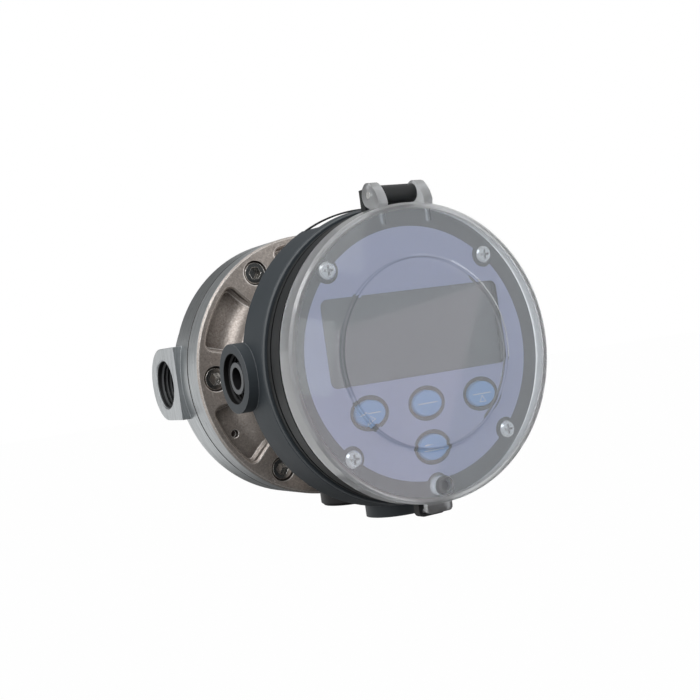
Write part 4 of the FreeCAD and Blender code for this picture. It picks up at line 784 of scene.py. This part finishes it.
for side, arrow_turn in ARROW_TURNS.items():
    low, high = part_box(side + "_key")
    face = Vector(((low[0] + high[0]) / 2, low[1], (low[2] + high[2]) / 2))
    mark = printed_rule(side + "_mark", RULE_HALF)
    settle(mark, face)
    if arrow_turn is not None:
        arrow = printed_arrow("arrow", arrow_turn)
        settle(arrow, face - Vector((0, 0, ARROW_DROP)))
        only(mark)
        arrow.select_set(True)
        bpy.ops.object.join()
    finish_piece(mark, print_white, side + "_button")

# Hinge pin: a drawn rod of bright steel. It is pressed through the bezel's knuckle, and the lid's
# ears turn on its ends.
dress(bright_steel, "hinge_pin")

# Lid: one clear, slightly milky injection moulding with a raised centre, hinge ears, a small post and
# a tongue. Its skirt, ears, post and tongue are thick, so they look greyer than the face. The tongue
# hangs in shade below the lid, and that shade is painted darker into its colour.
LID_CLEAR = (0.87, 0.905, 0.94, 1)
LID_THICK = (0.73, 0.745, 0.76, 1)
LID_TONGUE_SHADE = (0.36, 0.37, 0.38, 1)
LID_GRAINS = 700.0
LID_EDGE_R = 0.6 * MM
MILKY_FROM = 2.6 * MM
MILKY_BLEND = 0.8 * MM
THICK_ROUGH = 0.32
POST_DROP = 52.1 * MM
POST_R = 4.1 * MM
POST_SHARE = 0.8
STEP_INSET = 22.0 * MM
STEP_HALF = 2.2 * MM
STEP_EASE = 0.58
STEP_LINE = 0.2 * MM
STEP_SHADE = (0.42, 0.43, 0.45, 1)
STEP_SHADE_SHARE = 0.6
clear, tree, shader = new_material("lid_clear", LID_CLEAR, 0.04, IOR=1.49, Transmission_Weight=0.85,
                                   Coat_Roughness=0.04)
lid_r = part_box("lid")[1][0]
across = off_axis(tree)
from_axis = vector_maths(tree, "LENGTH", across)
skirt = spread(tree, from_axis, lid_r - MILKY_FROM - MILKY_BLEND, lid_r - MILKY_FROM)
from_post = vector_maths(tree, "DISTANCE", across, (0, 0, -POST_DROP))
post = spread(tree, from_post, POST_R, POST_R - MILKY_BLEND, 0.0, POST_SHARE)
thick = maths(tree, "MAXIMUM", skirt, post)
# painted shade: the tongue, which hangs below the lid, is darkened
tongue_shade = spread(tree, axes_of(tree, own_place(tree))["Z"], -lid_r, -lid_r - MILKY_BLEND)
from_step = maths(tree, "ABSOLUTE", maths(tree, "SUBTRACT", from_axis, lid_r - STEP_INSET))
shade = spread(tree, from_step, STEP_LINE, 2 * STEP_LINE, STEP_SHADE_SHARE, 0.0)
colour = mix(tree, tongue_shade, mix(tree, thick, LID_CLEAR, LID_THICK), LID_TONGUE_SHADE)
tree.links.new(mix(tree, shade, colour, STEP_SHADE), shader["Base Color"])
tree.links.new(skirt, shader["Coat Weight"])
polish = spread(tree, grain_of(tree, LID_GRAINS)["Tone"], 0.0, 1.0, 0.02, 0.05)
frost = maths(tree, "MULTIPLY", thick, THICK_ROUGH)
tree.links.new(maths(tree, "ADD", polish, frost), shader["Roughness"])

# the step round the raised centre is polished to a soft swell
ease = spread(tree, from_step, STEP_HALF, STEP_HALF + MILKY_BLEND, STEP_EASE, 0.0)
facing = axes_of(tree, own_normal(tree))["Y"]
outwards = node(tree, "ShaderNodeCombineXYZ", {"Y": maths(tree, "SIGN", facing)}).outputs[0]
eased = mix_vectors(tree, ease, own_normal(tree), outwards)
swell = node(tree, "ShaderNodeVectorTransform", {0: eased}, vector_type="NORMAL",
             convert_from="OBJECT", convert_to="WORLD").outputs[0]
edge = edge_highlight_of(tree, LID_EDGE_R, 1.0)
tree.links.new(mix_vectors(tree, thick, swell, edge["Normal"]), shader["Normal"])
dress(clear, "lid")

# Stage: a wide pale floor well below the meter, which is held by its pipe, soft light from the upper
# left and the right, and cards round it that the metal and the lid mirror.
FLOOR_DROP = 0.30
FLOOR_HALF = 6.0
FLOOR_GREY = (0.28, 0.28, 0.28, 1)
FLOOR_SHOWN = 0.99
ROOM_LEVEL = 0.58
WHITE = (1, 1, 1, 1)
ROSE = (1.0, 0.80, 0.90, 1)
MIDDLE = (0.0, -0.07, 0.0)
BACKWARDS = (0, -1, 0)
FORWARDS = (0, 1, 0)
UPWARDS = (0, 0, 1)
# name, place, towards, width and height, left and right grey, tilt in degrees, colour
CARDS = (
    ("rear_flag", (1.2, 1.4, 0.8), BACKWARDS, (1.6, 2.1), (0.40, 0.30), 0.0, WHITE),
    ("rear_shade", (-0.45, 1.4, 1.05), BACKWARDS, (1.7, 1.6), (0.30, 0.12), 0.0, WHITE),
    ("low_shade", (0.65, 0.7, -0.29), UPWARDS, (1.4, 1.0), (0.35, 0.12), 0.0, WHITE),
    ("under_shade", (0.1, -0.25, -0.28), UPWARDS, (0.9, 0.9), (0.10, 0.10), 0.0, WHITE),
    ("front_flag", (0.65, -1.25, 0.0), FORWARDS, (2.4, 2.0), (0.14, 0.14), 0.0, WHITE),
    ("window_light", (0.6745, -1.24, -0.108), FORWARDS, (0.5, 0.3), (1.15, 1.15), -8.6, ROSE),
    ("window_shade", (0.862, -1.23, -0.127), FORWARDS, (0.3, 0.5), (0.22, 0.22), 25.3, WHITE),
    ("top_light", (0.50, -1.23, 0.19), FORWARDS, (0.2, 0.16), (1.15, 1.15), 9.7, WHITE),
    ("side_light", (0.46, -1.23, -0.005), FORWARDS, (0.12, 0.104), (1.9, 1.9), 12.0, WHITE),
)
# name, place, side length, watts
LAMPS = (
    ("key_light", (-0.75, -0.85, 0.85), 0.7, 7.0),
    ("fill_light", (1.1, -0.8, 0.25), 0.8, 6.0),
)


def shown_rays(tree):
    """Rays that see the white background: straight, mirrored or through something clear."""
    path = node(tree, "ShaderNodeLightPath").outputs
    mirrored = maths(tree, "ADD", path["Is Glossy Ray"], path["Is Transmission Ray"])
    return maths(tree, "ADD", path["Is Camera Ray"], mirrored)


def soft_box(name, place, size, watts):
    """A square soft light turned to the middle of the meter."""
    light = bpy.data.lights.new(name, "AREA")
    light.shape = "RECTANGLE"
    light.size = size
    light.size_y = size
    light.energy = watts
    lamp = bpy.data.objects.new(name, light)
    bpy.context.collection.objects.link(lamp)
    lamp.location = place
    lamp.rotation_euler = (Vector(MIDDLE) - Vector(place)).to_track_quat("-Z", "Y").to_euler()
    lamp.visible_camera = False


def flag(name, place, towards, size, greys, tilt, colour):
    """A card beside the set that only mirrored rays see, shaded from one side to the other."""
    only()
    turn = Vector(towards).to_track_quat("Z", "Y") @ Quaternion((0, 0, 1), math.radians(tilt))
    bpy.ops.mesh.primitive_plane_add(size=1, location=place, rotation=turn.to_euler())
    card = bpy.context.object
    card.name = name
    card.scale = (*size, 1)
    card.visible_camera = False
    card.visible_diffuse = False
    card.visible_transmission = False
    card.visible_shadow = False
    material = bpy.data.materials.new(name)
    material.use_nodes = True
    tree = material.node_tree
    grey = spread(tree, axes_of(tree, own_place(tree))["X"], -0.5, 0.5, *greys)
    glow = node(tree, "ShaderNodeEmission", {"Color": colour, "Strength": grey}).outputs[0]
    tree.links.new(glow, tree.nodes["Material Output"].inputs["Surface"])
    card.data.materials.append(material)


only()
bpy.ops.mesh.primitive_plane_add(size=2 * FLOOR_HALF, location=(0, 0, -FLOOR_DROP))
floor = bpy.context.object
floor.name = "floor"
pale, tree, shader = new_material("pale_floor", FLOOR_GREY, 0.9)
seen = maths(tree, "MULTIPLY", shown_rays(tree), FLOOR_SHOWN)
white = node(tree, "ShaderNodeEmission", {"Color": WHITE, "Strength": 1.0}).outputs[0]
surface = tree.nodes["Principled BSDF"].outputs[0]
shown = node(tree, "ShaderNodeMixShader", {0: seen, 1: surface, 2: white}).outputs[0]
tree.links.new(shown, tree.nodes["Material Output"].inputs["Surface"])
floor.data.materials.append(pale)
for card in CARDS:
    flag(*card)
for lamp in LAMPS:
    soft_box(*lamp)

world = bpy.data.worlds.new("pale_room")
bpy.context.scene.world = world
world.use_nodes = True
tree = world.node_tree
room = node(tree, "ShaderNodeBackground", {"Color": WHITE, "Strength": ROOM_LEVEL}).outputs[0]
backdrop = node(tree, "ShaderNodeBackground", {"Color": WHITE, "Strength": 1.0}).outputs[0]
shown = node(tree, "ShaderNodeMixShader", {0: shown_rays(tree), 1: room, 2: backdrop}).outputs[0]
tree.links.new(shown, tree.nodes["World Output"].inputs["Surface"])

# Camera: close in front of the inlet side and about level with the meter's axis, leaning a few
# degrees. Its frame is shifted so that the meter stands where the photograph has it.
CAMERA_DISTANCE = 0.47044
CAMERA_YAW = math.radians(31.43)
CAMERA_PITCH = math.radians(1.24)
CAMERA_ROLL = math.radians(-7.88)
CAMERA_LENS = 61.93
CAMERA_SENSOR = 36.0
CAMERA_SHIFT = (-0.0985, 0.0046)
target = Vector((0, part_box("face_label")[0][1], 0))
right = Vector((math.cos(CAMERA_YAW), -math.sin(CAMERA_YAW), 0))
level = Vector((math.sin(CAMERA_YAW), math.cos(CAMERA_YAW), 0))
ahead = level * math.cos(CAMERA_PITCH) - Vector((0, 0, math.sin(CAMERA_PITCH)))
upright = right.cross(ahead)
side = right * math.cos(CAMERA_ROLL) + upright * math.sin(CAMERA_ROLL)
top = upright * math.cos(CAMERA_ROLL) - right * math.sin(CAMERA_ROLL)
camera = bpy.data.objects.new("camera", bpy.data.cameras.new("camera"))
camera.data.lens = CAMERA_LENS
camera.data.sensor_width = CAMERA_SENSOR
camera.data.shift_x, camera.data.shift_y = CAMERA_SHIFT
bpy.context.collection.objects.link(camera)
turned = Matrix((side, top, -ahead)).transposed()
camera.matrix_world = Matrix.Translation(target - ahead * CAMERA_DISTANCE) @ turned.to_4x4()
bpy.context.scene.camera = camera
bpy.context.scene.view_settings.view_transform = "Standard"
